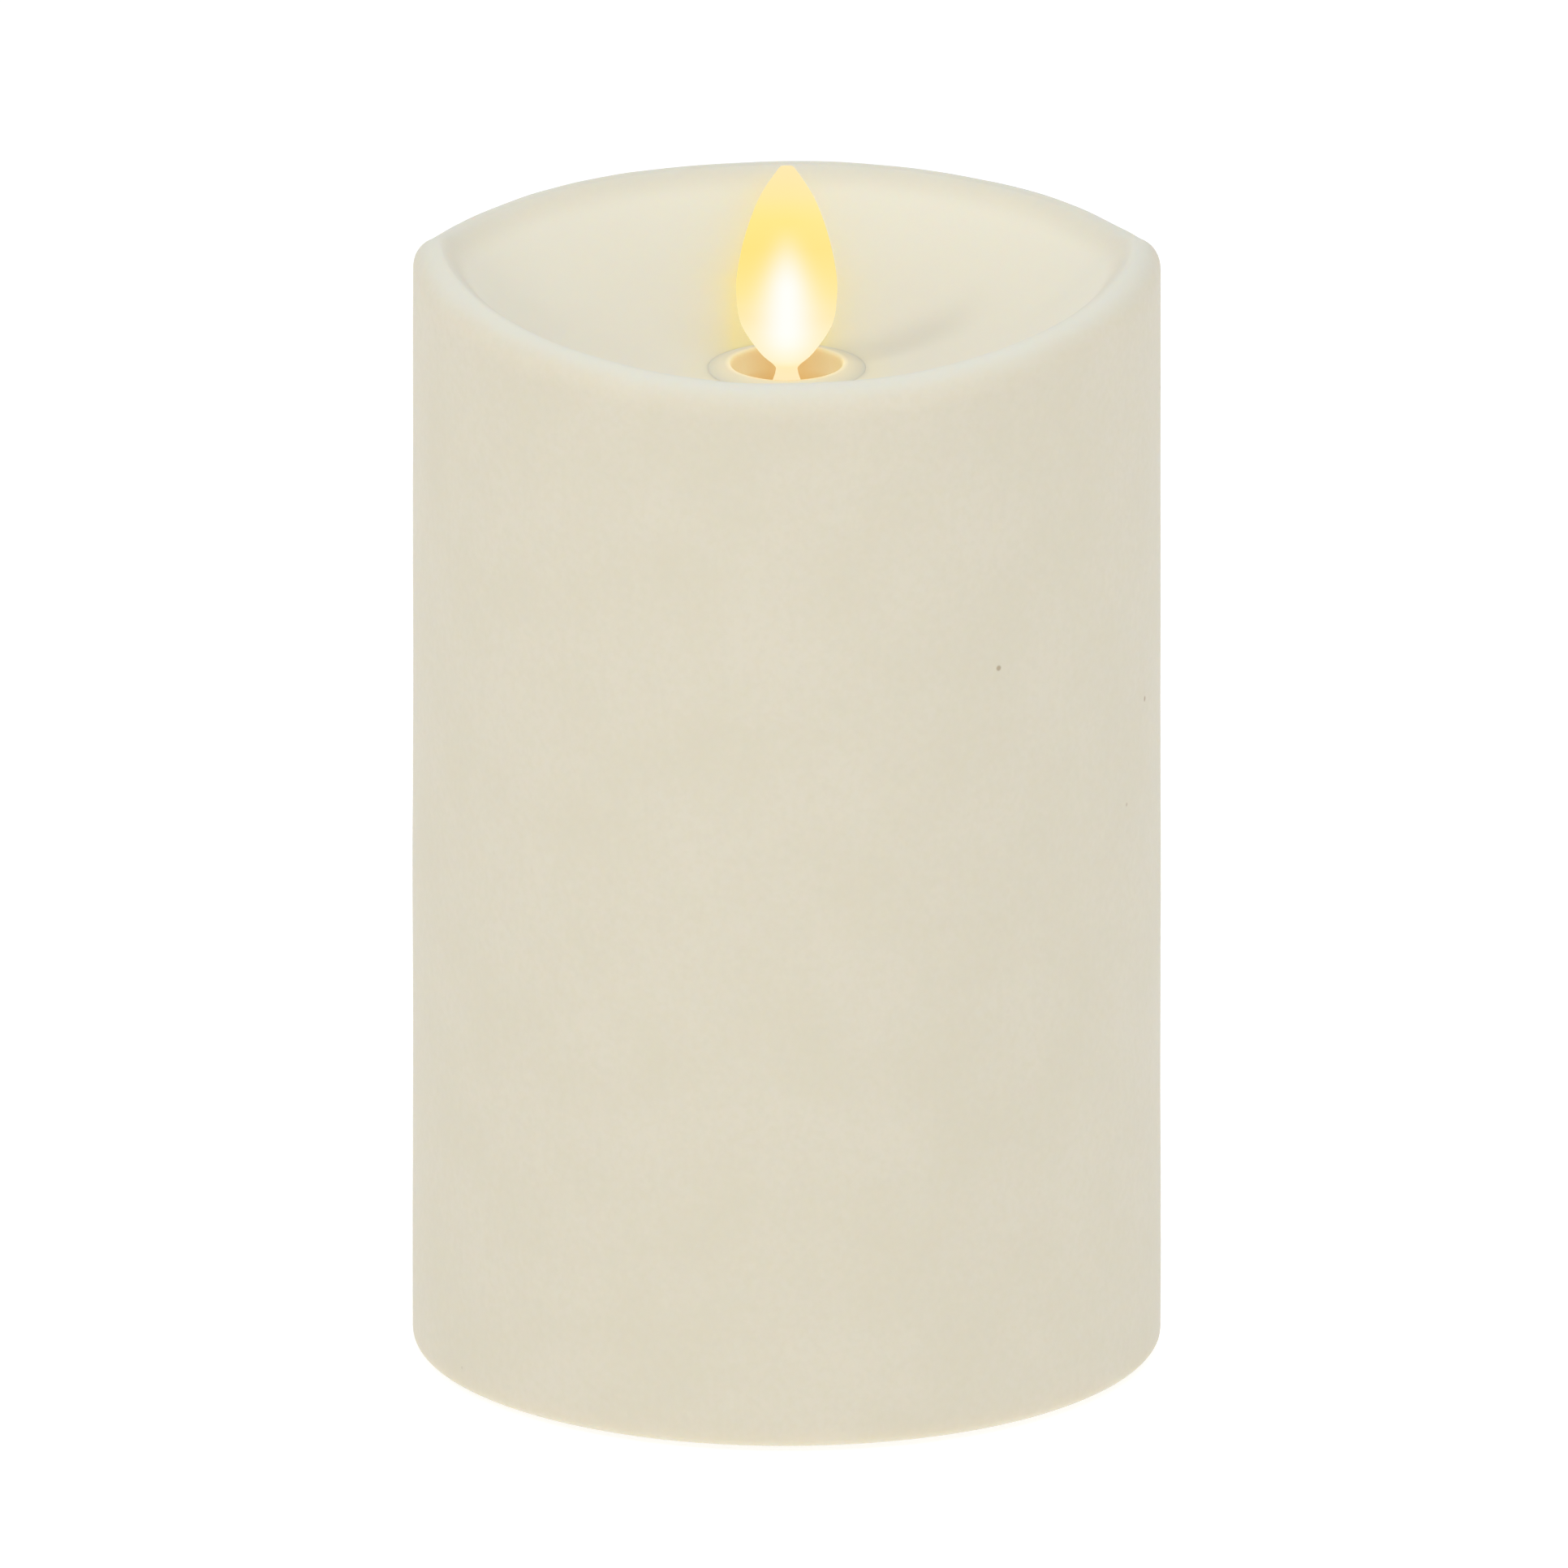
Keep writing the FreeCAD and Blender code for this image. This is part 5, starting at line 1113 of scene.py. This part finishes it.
# ---- the visible pieces -------------------------------------------------------------------
@dataclass
class WaxPillar:
    """The poured wax shell: straight sides, a wavy rolled rim and a bowl down to the ring."""

    bowl_depth: float = 14.4
    ring_proud: float = 0.6
    side_rise: float = 0.35
    side_shift: float = 0.05
    side_soft: float = 0.04
    front_drop: float = 4.1
    front_curl: float = 1.7
    back_drop: float = 3.3
    back_rush: float = 4.3
    lip_round: float = 3.3
    brim_flat: float = 0.3
    brim_blend: float = 1.5
    bowl_power: float = 2.6
    foot_round: float = 0.8
    ring_hug: float = 0.15
    wall: float = 5.8
    crown: float = 5.0
    steps: int = 256
    bowl_cuts: int = 44
    wall_cuts: int = 36
    wave_start: float = 60.0
    slow: float = 13.0
    slow_depth: float = 0.16
    quick: float = 5.0
    quick_share: float = 0.25
    lip_quick_depth: float = 0.05
    lip_zone: float = 4.0
    side_slow: float = 22.0
    side_slow_depth: float = 0.07
    side_quick: float = 6.0
    side_quick_depth: float = 0.02
    # the painted sheen along the lip's roll: how its width wanders, its width, share, inset and
    # drop
    painted_sheen_wander: float = 9.0
    painted_sheen_wander_depth: float = 0.5
    painted_sheen_width: float = 1.7
    painted_sheen_share: float = 0.85
    painted_sheen_inset: float = 0.7
    painted_sheen_drop: float = 0.12
    zone_in: float = 3.0
    zone_out: float = 1.0
    radius: float = field(init=False)
    low: float = field(init=False)
    top: float = field(init=False)
    floor: float = field(init=False)
    hole: float = field(init=False)

    def __post_init__(self) -> None:
        """Reads the places that the CAD fixes."""
        low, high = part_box("wax_shell")
        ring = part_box("flame_collar")[1]
        self.radius, self.low = high.x / MM, low.z / MM
        self.hole, self.floor = ring.x / MM - self.ring_hug, ring.z / MM - self.ring_proud
        self.top = self.floor + self.bowl_depth

    @property
    def brim(self) -> float:
        """Radius at which the bowl meets the rim."""
        return self.radius - self.lip_round - self.brim_flat

    def rim(self, x: float, y: float) -> float:
        """Height of the wavy rim over a point: peaked at both sides, lower in front and behind.

        Args:
            x: the point's place across.
            y: its place front to back.

        Returns:
            The rim's height on that side of the candle.
        """
        along = y / max(math.hypot(x, y), 1e-6) - self.side_shift
        behind = (along + math.hypot(along, self.side_soft)) / 2 / (1 - self.side_shift)
        ahead = max(0.0, -along) / (1 + self.side_shift)
        dip = self.back_drop * (1 - max(0.0, 1 - behind) ** self.back_rush)
        return self.top + self.side_rise - dip - self.front_drop * ahead ** self.front_curl

    def bowl(self, reach: float) -> float:
        """Height of the bowl at a radius, where the rim is at its highest."""
        share = max(0.0, (reach - self.hole) / (self.brim - self.hole))
        curve = self.floor + self.bowl_depth * share ** self.bowl_power
        mix = min(1.0, max(0.0, 0.5 + (self.top - curve) / (2 * self.brim_blend)))
        return self.top + (curve - self.top) * mix - self.brim_blend * mix * (1 - mix)

    def wavy(self, place: Vector) -> Vector:
        """Bends a point of the spun shell to the wavy rim and gives it poured unevenness.

        Args:
            place: the point on the plain spun shell.

        Returns:
            Where it goes.
        """
        reach = math.hypot(place.x, place.y)
        rim = self.rim(place.x, place.y)
        if reach < self.radius - self.wall + NEAR_MM and place.z < self.floor - NEAR_MM:
            return place
        if reach < self.radius - self.lip_round - NEAR_MM and place.z > self.floor - NEAR_MM:
            share = (rim - self.floor) / self.bowl_depth
            depth = self.slow_depth * smooth_step(self.hole, self.hole + self.quick, reach)
            place.z = self.floor + (place.z - self.floor) * share
            place.z += unevenness(place, self.slow, depth) + unevenness(
                place, self.quick, depth * self.quick_share
            )
            return place
        lift = smooth_step(self.wave_start, self.floor, place.z)
        place.z -= (self.top - rim) * lift
        if place.z > self.floor - self.lip_zone:
            at_lip = smooth_step(self.floor - self.lip_zone, rim - self.lip_zone / 2, place.z)
            place.z += at_lip * (
                unevenness(place, self.slow, self.slow_depth)
                + unevenness(place, self.quick, self.lip_quick_depth)
            )
        out = unevenness(place, self.side_slow, self.side_slow_depth)
        out += unevenness(place, self.side_quick, self.side_quick_depth)
        scale = (reach + out) / reach
        return Vector((place.x * scale, place.y * scale, place.z))

    def shell(self) -> bmesh.types.BMesh:
        """Spins the shell from its outline and bends it.

        Returns:
            The wax's mesh.
        """
        bm = bmesh.new()
        bore = self.radius - self.wall
        ceiling = self.floor - self.crown
        corners = outline(bm, [
            (self.radius, self.low), (self.radius, self.top), (self.hole, self.floor),
            (self.hole, ceiling), (bore, ceiling), (bore, self.low),
        ], closed=True)
        flat = bm.verts.new((self.radius - 2 * self.lip_round, 0, self.top))
        slope = bm.edges.get(corners[1:3])
        bm.edges.remove(slope)
        bm.edges.new((corners[1], flat))
        bm.edges.new((flat, corners[2]))
        round_corner(bm, corners[1], self.lip_round, 12)
        round_corner(bm, corners[0], self.foot_round, 5)
        wall = [e for e in bm.edges if e.calc_length() > self.top / 2
                and e.verts[0].co.x > self.radius - NEAR_MM]
        bmesh.ops.subdivide_edges(bm, edges=wall, cuts=self.wall_cuts)
        slope = [e for e in bm.edges if self.is_bowl(e)]
        bmesh.ops.subdivide_edges(bm, edges=slope, cuts=self.bowl_cuts)
        for vertex in bm.verts:
            inside = vertex.co.x < self.radius - self.lip_round + NEAR_MM
            if inside and vertex.co.z > self.floor - NEAR_MM:
                vertex.co.z = self.bowl(vertex.co.x)
        spin_full(bm, self.steps)
        reshape(bm, self.wavy)
        return bm

    def is_bowl(self, edge: bmesh.types.BMEdge) -> bool:
        """Whether an outline edge is one of the long straight ones that become the bowl."""
        high = min(v.co.z for v in edge.verts) > self.floor - NEAR_MM
        return high and edge.calc_length() > self.lip_round / 2

    def mark_zones(self, bm: bmesh.types.BMesh) -> None:
        """Stores how much painted sheen each vertex gets along the lip's roll and how much it
        belongs to the bowl.

        Args:
            bm: the wax's mesh.
        """
        lip = bm.verts.layers.float.new("lip")
        bowl = bm.verts.layers.float.new("bowl")
        for vertex in bm.verts:
            place = vertex.co
            reach = math.hypot(place.x, place.y)
            away = math.hypot(
                reach - (self.radius - self.lip_round * self.painted_sheen_inset),
                place.z - (self.rim(place.x, place.y) - self.lip_round * self.painted_sheen_drop),
            )
            width = self.painted_sheen_width + unevenness(
                place, self.painted_sheen_wander, self.painted_sheen_wander_depth
            )
            vertex[lip] = self.painted_sheen_share * math.exp(-((away / width) ** 2))
            inside = 1 - smooth_step(self.brim - self.zone_in, self.brim + self.zone_out, reach)
            vertex[bowl] = inside if place.z > self.floor - self.zone_out else 0.0

    def make(self) -> None:
        """Makes and dresses the wax pillar."""
        bm = self.shell()
        self.mark_zones(bm)
        finished_piece(bm, "wax_pillar", WAX, "candle", ("wax_shell",))


@dataclass
class FlameRing:
    """The soft ring round the flame's neck and the tube under it."""

    shoulder: float = 0.62
    crest_in: float = 1.55
    shoulder_round: float = 0.04
    crest_round: float = 0.8
    mouth_round: float = 0.5
    bore: float = 6.15
    step: float = 0.95
    step_z: float = 107.0
    wobble: float = 4.5
    wobble_depth: float = 0.10
    tube_cuts: int = 8
    round_segments: int = 6
    steps: int = 160

    def make(self) -> None:
        """Spins, roughens and dresses the ring."""
        low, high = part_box("flame_collar")
        outer, bottom, top = high.x / MM, low.z / MM, high.z / MM
        bm = bmesh.new()
        corners = outline(bm, [
            (outer, self.step_z), (outer, top - self.shoulder), (outer - self.crest_in, top),
            (self.bore, top), (self.bore, bottom), (outer - self.step, bottom),
            (outer - self.step, self.step_z),
        ], closed=True)
        rounds = (self.shoulder_round, self.crest_round, self.mouth_round)
        for corner, reach in zip(corners[1:4], rounds):
            round_corner(bm, corner, reach, self.round_segments)
        tube = [e for e in bm.edges if e.calc_length() > 2]
        bmesh.ops.subdivide_edges(bm, edges=tube, cuts=self.tube_cuts)
        spin_full(bm, self.steps)
        reshape(bm, lambda place: self.hand_laid(place, top))
        finished_piece(bm, "flame_ring", RING, "candle", ("flame_collar",))

    def hand_laid(self, place: Vector, top: float) -> Vector:
        """Makes the ring's crest slightly uneven.

        Args:
            place: a point on the spun ring.
            top: height of its crest.

        Returns:
            Where the point goes.
        """
        share = smooth_step(top - self.shoulder, top, place.z)
        place.z += share * unevenness(place, self.wobble, self.wobble_depth)
        return place


@dataclass
class FlamePendulum:
    """The flame, its neck and arm, the eye on the wire, and the tail with the magnet's cup."""

    flame_half: float = 5.57
    flame_thick: float = 1.2
    tip_thick: float = 0.6
    flame_rise: float = 23.4
    belly_share: float = 0.37
    # the flank from tip to foot, as shares of the half width and of the rise
    flank: tuple[tuple[float, float], ...] = (
        (0.0, 1.0), (0.085, 0.997), (0.18, 0.982), (0.55, 0.84), (0.82, 0.66), (0.97, 0.49),
        (1.0, 0.37), (0.91, 0.22), (0.57, 0.09),
    )
    # the neck and arm, as shares of the neck's half width at drops below the bowl's floor
    neck: tuple[tuple[float, float], ...] = (
        (1.12, -0.35), (1.0, 0.5), (1.4, 2.2), (1.4, 4.0), (0.96, 6.5),
    )
    neck_half: float = 1.25
    arm_half: float = 1.2
    pivot_drop: float = 13.1
    eye: float = 2.6
    eye_hole: float = 0.48
    tail_half: float = 1.6
    tail_length: float = 16.0
    tail_thick: float = 1.2
    edge_round: float = 0.2
    cup: float = 3.7
    cup_inner: float = 3.0
    cup_depth: float = 1.2
    cup_roof: float = 0.7
    steps: int = 96
    tip: float = field(init=False)
    floor: float = field(init=False)
    pivot: float = field(init=False)

    def __post_init__(self) -> None:
        """Reads the flame's tip from the CAD and hangs the rest below it."""
        self.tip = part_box("flame_paddle")[1].z / MM
        self.floor = self.tip - self.flame_rise
        self.pivot = self.floor - self.pivot_drop

    def blade(self) -> None:
        """Spins the flame's outline and flattens it to a lens from edge to edge."""
        points = [
            (self.flame_half * width, self.floor + self.flame_rise * height)
            for width, height in self.flank
        ]
        points += [(self.neck_half * width, self.floor - drop) for width, drop in self.neck]
        points += [(self.arm_half, self.pivot + self.eye), (0.0, self.pivot + self.eye * 0.8)]
        bm = bmesh.new()
        outline(bm, drawn_through(points, 7), closed=False)
        spin_full(bm, self.steps)
        reshape(bm, self.flattened)
        finished_piece(bm, "flame_blade", FLAME, "flame_pendulum", ("flame_paddle",))

    def flattened(self, place: Vector) -> Vector:
        """Squeezes a point of the spun flame front to back.

        Args:
            place: a point on the spun flame.

        Returns:
            Where it goes.
        """
        belly = self.floor + self.flame_rise * self.belly_share
        towards_tip = smooth_step(belly, self.tip, place.z)
        thick = self.flame_thick + (self.tip_thick - self.flame_thick) * towards_tip
        place.y *= min(1.0, thick / self.half_width(place.z))
        return place

    def half_width(self, height: float) -> float:
        """Returns the flame's rough half width at a height, for its thickness."""
        share = min(1.0, max(0.0, (height - self.floor) / self.flame_rise))
        return max(self.arm_half, self.flame_half * math.sin(math.pi * share))

    def arm(self) -> None:
        """Makes the eye on the wire with the flat tail under it."""
        foot = self.pivot - self.tail_length
        meet = math.asin(self.tail_half / self.eye)
        turn = [math.tau * 0.75 + meet + (math.tau - 2 * meet) * i / 48 for i in range(49)]
        edge = [(math.cos(a) * self.eye, self.pivot + math.sin(a) * self.eye) for a in turn]
        edge += [(-self.tail_half, foot), (self.tail_half, foot)]
        around = [math.tau * i / 32 for i in range(32)]
        hole = [
            (math.cos(a) * self.eye_hole, self.pivot + math.sin(a) * self.eye_hole)
            for a in around
        ]
        bm = bmesh.new()
        outline(bm, edge, closed=True)
        outline(bm, hole, closed=True)
        bmesh.ops.triangle_fill(bm, edges=bm.edges[:], use_beauty=True)
        bmesh.ops.translate(bm, vec=(0, -self.tail_thick, 0), verts=bm.verts)
        pushed = bmesh.ops.extrude_face_region(bm, geom=bm.faces[:])["geom"]
        moved = [g for g in pushed if isinstance(g, bmesh.types.BMVert)]
        bmesh.ops.translate(bm, vec=(0, 2 * self.tail_thick, 0), verts=moved)
        sharp = [e for e in bm.edges if e.calc_face_angle(0.0) > SHARP_ANGLE]
        bmesh.ops.bevel(
            bm, geom=sharp, offset=self.edge_round, offset_type="OFFSET", segments=3,
            profile=0.5, affect="EDGES", material=-1,
        )
        finished_piece(bm, "pendulum_arm", FROSTED, "flame_pendulum")

    def magnet_cup(self) -> None:
        """Makes the cup at the tail's foot that the magnet is pressed into."""
        roof = self.pivot - self.tail_length
        bm = bmesh.new()
        corners = outline(bm, [
            (0.0, roof + self.cup_roof), (self.cup, roof + self.cup_roof),
            (self.cup, roof - self.cup_depth), (self.cup_inner, roof - self.cup_depth),
            (self.cup_inner, roof), (0.0, roof),
        ], closed=False)
        for corner in corners[1:4]:
            round_corner(bm, corner, self.edge_round, 3)
        spin_full(bm, self.steps)
        finished_piece(bm, "magnet_cup", FROSTED, "flame_pendulum")

    def make(self) -> None:
        """Makes the flame, its arm and the magnet's cup."""
        self.blade()
        self.arm()
        self.magnet_cup()


@dataclass
class CoreAndBase:
    """The core that the wax is glued to, the base plate, feet and screws, and their marks."""

    mark_height: float = 0.2
    mark_y: float = 30.2
    mark_pitch: float = 2.0
    ring_r: float = 0.6
    ring_pieces: int = 24
    ring_size: tuple[float, float] = (0.2, 0.17)
    bar_size: tuple[float, float] = (0.5, 1.5)
    dot_r: float = 0.28
    dot_pitch: float = 0.8

    def marks(self) -> None:
        """Raises the switch's position marks on the base: a ring, a bar and three dots."""
        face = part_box("base_plate")[0].z / MM
        low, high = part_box("switch_body")
        middle = (low.x + high.x) / 2 / MM
        aside = self.mark_pitch * 1.5
        bm = bmesh.new()
        origin = Matrix.Translation((middle, self.mark_y, face - self.mark_height / 2))
        for i in range(self.ring_pieces):
            turn = Matrix.Rotation(math.tau * i / self.ring_pieces, 4, "Z")
            size = Matrix.Diagonal((*self.ring_size, self.mark_height, 1))
            out = turn @ Matrix.Translation((self.ring_r, 0, 0)) @ size
            at = origin @ Matrix.Translation((-aside, 0, 0)) @ out
            bmesh.ops.create_cube(bm, size=1.0, matrix=at)
        size = Matrix.Diagonal((*self.bar_size, self.mark_height, 1))
        bmesh.ops.create_cube(bm, size=1.0, matrix=origin @ size)
        for i in (-1, 0, 1):
            at = origin @ Matrix.Translation((aside, i * self.dot_pitch, 0))
            bmesh.ops.create_cone(
                bm, cap_ends=True, segments=20, radius1=self.dot_r, radius2=self.dot_r,
                depth=self.mark_height, matrix=at,
            )
        finished_piece(bm, "switch_marks", IVORY_ABS, "candle")

    def make(self) -> None:
        """Dresses the core and base."""
        dress({
            "core_housing": NATURAL_ABS, "glue_beads": GLUE, "base_plate": IVORY_ABS,
            "rubber_feet": FOOT_RUBBER, "base_screws": ZINC, "box_screws": ZINC,
        })
        self.marks()


@dataclass
class BatteryPack:
    """The two cells, their box and contacts, and the door with its spring."""

    band: float = 5.0

    def make(self) -> None:
        """Dresses the cells, contacts and door."""
        sleeve = sleeve_of("battery_sleeves", "cell_sleeve", "22252B", "B9713A", self.band)
        dress({
            "battery_box": NATURAL_ABS, "battery_left": CAN_STEEL, "battery_right": CAN_STEEL,
            "battery_sleeves": sleeve, "contact_positive": TINNED_BRASS,
            "contact_negative": TINNED_BRASS, "contact_spring": NICKEL,
            "battery_door": IVORY_ABS, "door_bridge": TINNED_BRASS, "door_spring": NICKEL,
            "door_hinge_pin": NICKEL,
        })


@dataclass
class SlideSwitch:
    """The three-position switch in the base."""

    def make(self) -> None:
        """Dresses the switch."""
        dress({
            "switch_body": NICKEL, "switch_lever": BLACK_ABS, "switch_knob": BLACK_ABS,
            "switch_terminals": TINNED_BRASS,
        })


@dataclass
class LightEngine:
    """The clamshell that carries the flame's wire, its coil and its two lamps."""

    def make(self) -> None:
        """Dresses the light engine."""
        dress({
            "engine_half_left": NATURAL_ABS, "engine_half_right": NATURAL_ABS,
            "engine_screws": ZINC, "mount_screws": ZINC, "coil_bobbin": BLACK_ABS,
            "coil_winding": WINDING, "pivot_wire": NICKEL, "pendulum_magnet": NICKEL,
            "lamp_front": LENS, "lamp_rear": LENS, "lamp_leads": NICKEL,
        })


@dataclass
class ControlBoard:
    """The round circuit board and its parts."""

    can_top: float = 0.6

    def make(self) -> None:
        """Dresses the board."""
        cans = sleeve_of("board_capacitors", "capacitor_blue", "1A2A5E", "C9CACB", self.can_top)
        dress({
            "control_board": MASKED_BOARD, "board_screws": ZINC, "board_chip": CHIP_EPOXY,
            "board_capacitors": cans, "board_resistors": CHIP_EPOXY,
            "board_transistors": CHIP_EPOXY, "board_crystal": NICKEL,
        })


@dataclass
class Wiring:
    """Every wire inside the candle."""

    def make(self) -> None:
        """Dresses the wires."""
        dress({
            "wires_lamp_front": RED_PVC, "wires_lamp_rear": RED_PVC, "wires_coil": BARE_COPPER,
            "wire_power_red": RED_PVC, "wire_power_black": BLACK_PVC,
            "wires_switch": WHITE_PVC,
        })


# ---- studio -------------------------------------------------------------------------------
@dataclass(frozen=True)
class WhiteFloor(Finish):
    """Opal acrylic sheet lit from below, as on a product table.

    It gives the eye an even white with hardly any shadow.
    """

    colour: str = "BEBEBE"
    glow: float = 0.66

    def shader(self, tree: bpy.types.NodeTree) -> bpy.types.Node:
        """Adds the floor's nodes and returns the Principled node that ends them."""
        return add_node(
            tree, "ShaderNodeBsdfPrincipled",
            {"Base Color": linear(self.colour), "Roughness": 0.9, "Specular IOR Level": 0.0,
             "Emission Color": linear("FFFFFF"), "Emission Strength": self.glow},
        )


@dataclass(frozen=True)
class Softbox:
    """A square soft light: its direction from the candle, distance and side in m, watts, colour."""

    name: str
    towards: tuple[float, float, float]
    away: float
    size: float
    watts: float
    colour: str

    def hang(self, aim: Vector) -> None:
        """Hangs the light so that it faces a point.

        Args:
            aim: the point.
        """
        light = bpy.data.lights.new(self.name, "AREA")
        light.size, light.energy, light.color = self.size, self.watts, linear(self.colour)[:3]
        lamp = bpy.data.objects.new(self.name, light)
        towards = Vector(self.towards)
        lamp.location = aim + towards.normalized() * self.away
        lamp.rotation_euler = towards.to_track_quat("Z", "Y").to_euler()
        bpy.context.scene.collection.objects.link(lamp)


SOFTBOXES = (
    Softbox("overhead", (0.1, -0.4, 1.0), 1.2, 0.9, 4.6, "FCFDFF"),
    Softbox("key", (-0.7, -0.5, 0.8), 1.2, 0.25, 2.0, "FFFCF4"),
    Softbox("fill", (0.45, -1.0, 0.0), 1.2, 0.9, 1.9, "FCFDFF"),
)


@dataclass
class Studio:
    """The pale floor, soft light from all sides and the camera in front."""

    floor_radius: float = 9.0
    floor_depth: float = 1.0
    surround: float = 0.63
    view_width: float = 0.1731
    distance: float = 2.9
    elevation: float = 18.0
    aim: tuple[float, float, float] = (-0.0003, 0.0, 0.06426)

    def floor(self) -> None:
        """Lays the floor."""
        bm = bmesh.new()
        bmesh.ops.create_cone(
            bm, cap_ends=True, segments=64, radius1=self.floor_radius,
            radius2=self.floor_radius, depth=self.floor_depth,
            matrix=Matrix.Translation((0, 0, -self.floor_depth / 2)),
        )
        mesh = bpy.data.meshes.new("studio_floor")
        bm.to_mesh(mesh)
        bm.free()
        mesh.materials.append(material_of(WhiteFloor("acrylic_opal_lit", "")))
        floor = bpy.data.objects.new("studio_floor", mesh)
        bpy.context.scene.collection.objects.link(floor)

    def light(self) -> None:
        """Sets the even surround and hangs the softboxes."""
        world = bpy.data.worlds.new("studio_surround")
        world.use_nodes = True
        background = world.node_tree.nodes["Background"]
        background.inputs["Color"].default_value = linear("FFFFFF")
        background.inputs["Strength"].default_value = self.surround
        bpy.context.scene.world = world
        for softbox in SOFTBOXES:
            softbox.hang(Vector(self.aim))

    def camera(self) -> None:
        """Puts a camera without perspective in front, looking slightly down into the bowl."""
        data = bpy.data.cameras.new("studio_camera")
        data.type, data.ortho_scale = "ORTHO", self.view_width
        camera = bpy.data.objects.new("studio_camera", data)
        tilt = math.radians(self.elevation)
        back = Vector((0, -math.cos(tilt), math.sin(tilt)))
        camera.location = Vector(self.aim) + back * self.distance
        camera.rotation_euler = back.to_track_quat("Z", "Y").to_euler()
        bpy.context.scene.collection.objects.link(camera)
        bpy.context.scene.camera = camera

    def make(self) -> None:
        """Sets the studio up."""
        bpy.context.scene.view_settings.view_transform = "Standard"
        self.floor()
        self.light()
        self.camera()


def main() -> None:
    """Builds the studio and every sub-assembly in order."""
    logging.basicConfig(level=logging.INFO, format="%(name)s: %(message)s")
    Studio().make()
    for assembly in (
        WaxPillar(), FlameRing(), FlamePendulum(), CoreAndBase(), BatteryPack(), SlideSwitch(),
        LightEngine(), ControlBoard(), Wiring(),
    ):
        log.info("building %s", type(assembly).__name__)
        assembly.make()


if __name__ == "__main__":
    main()
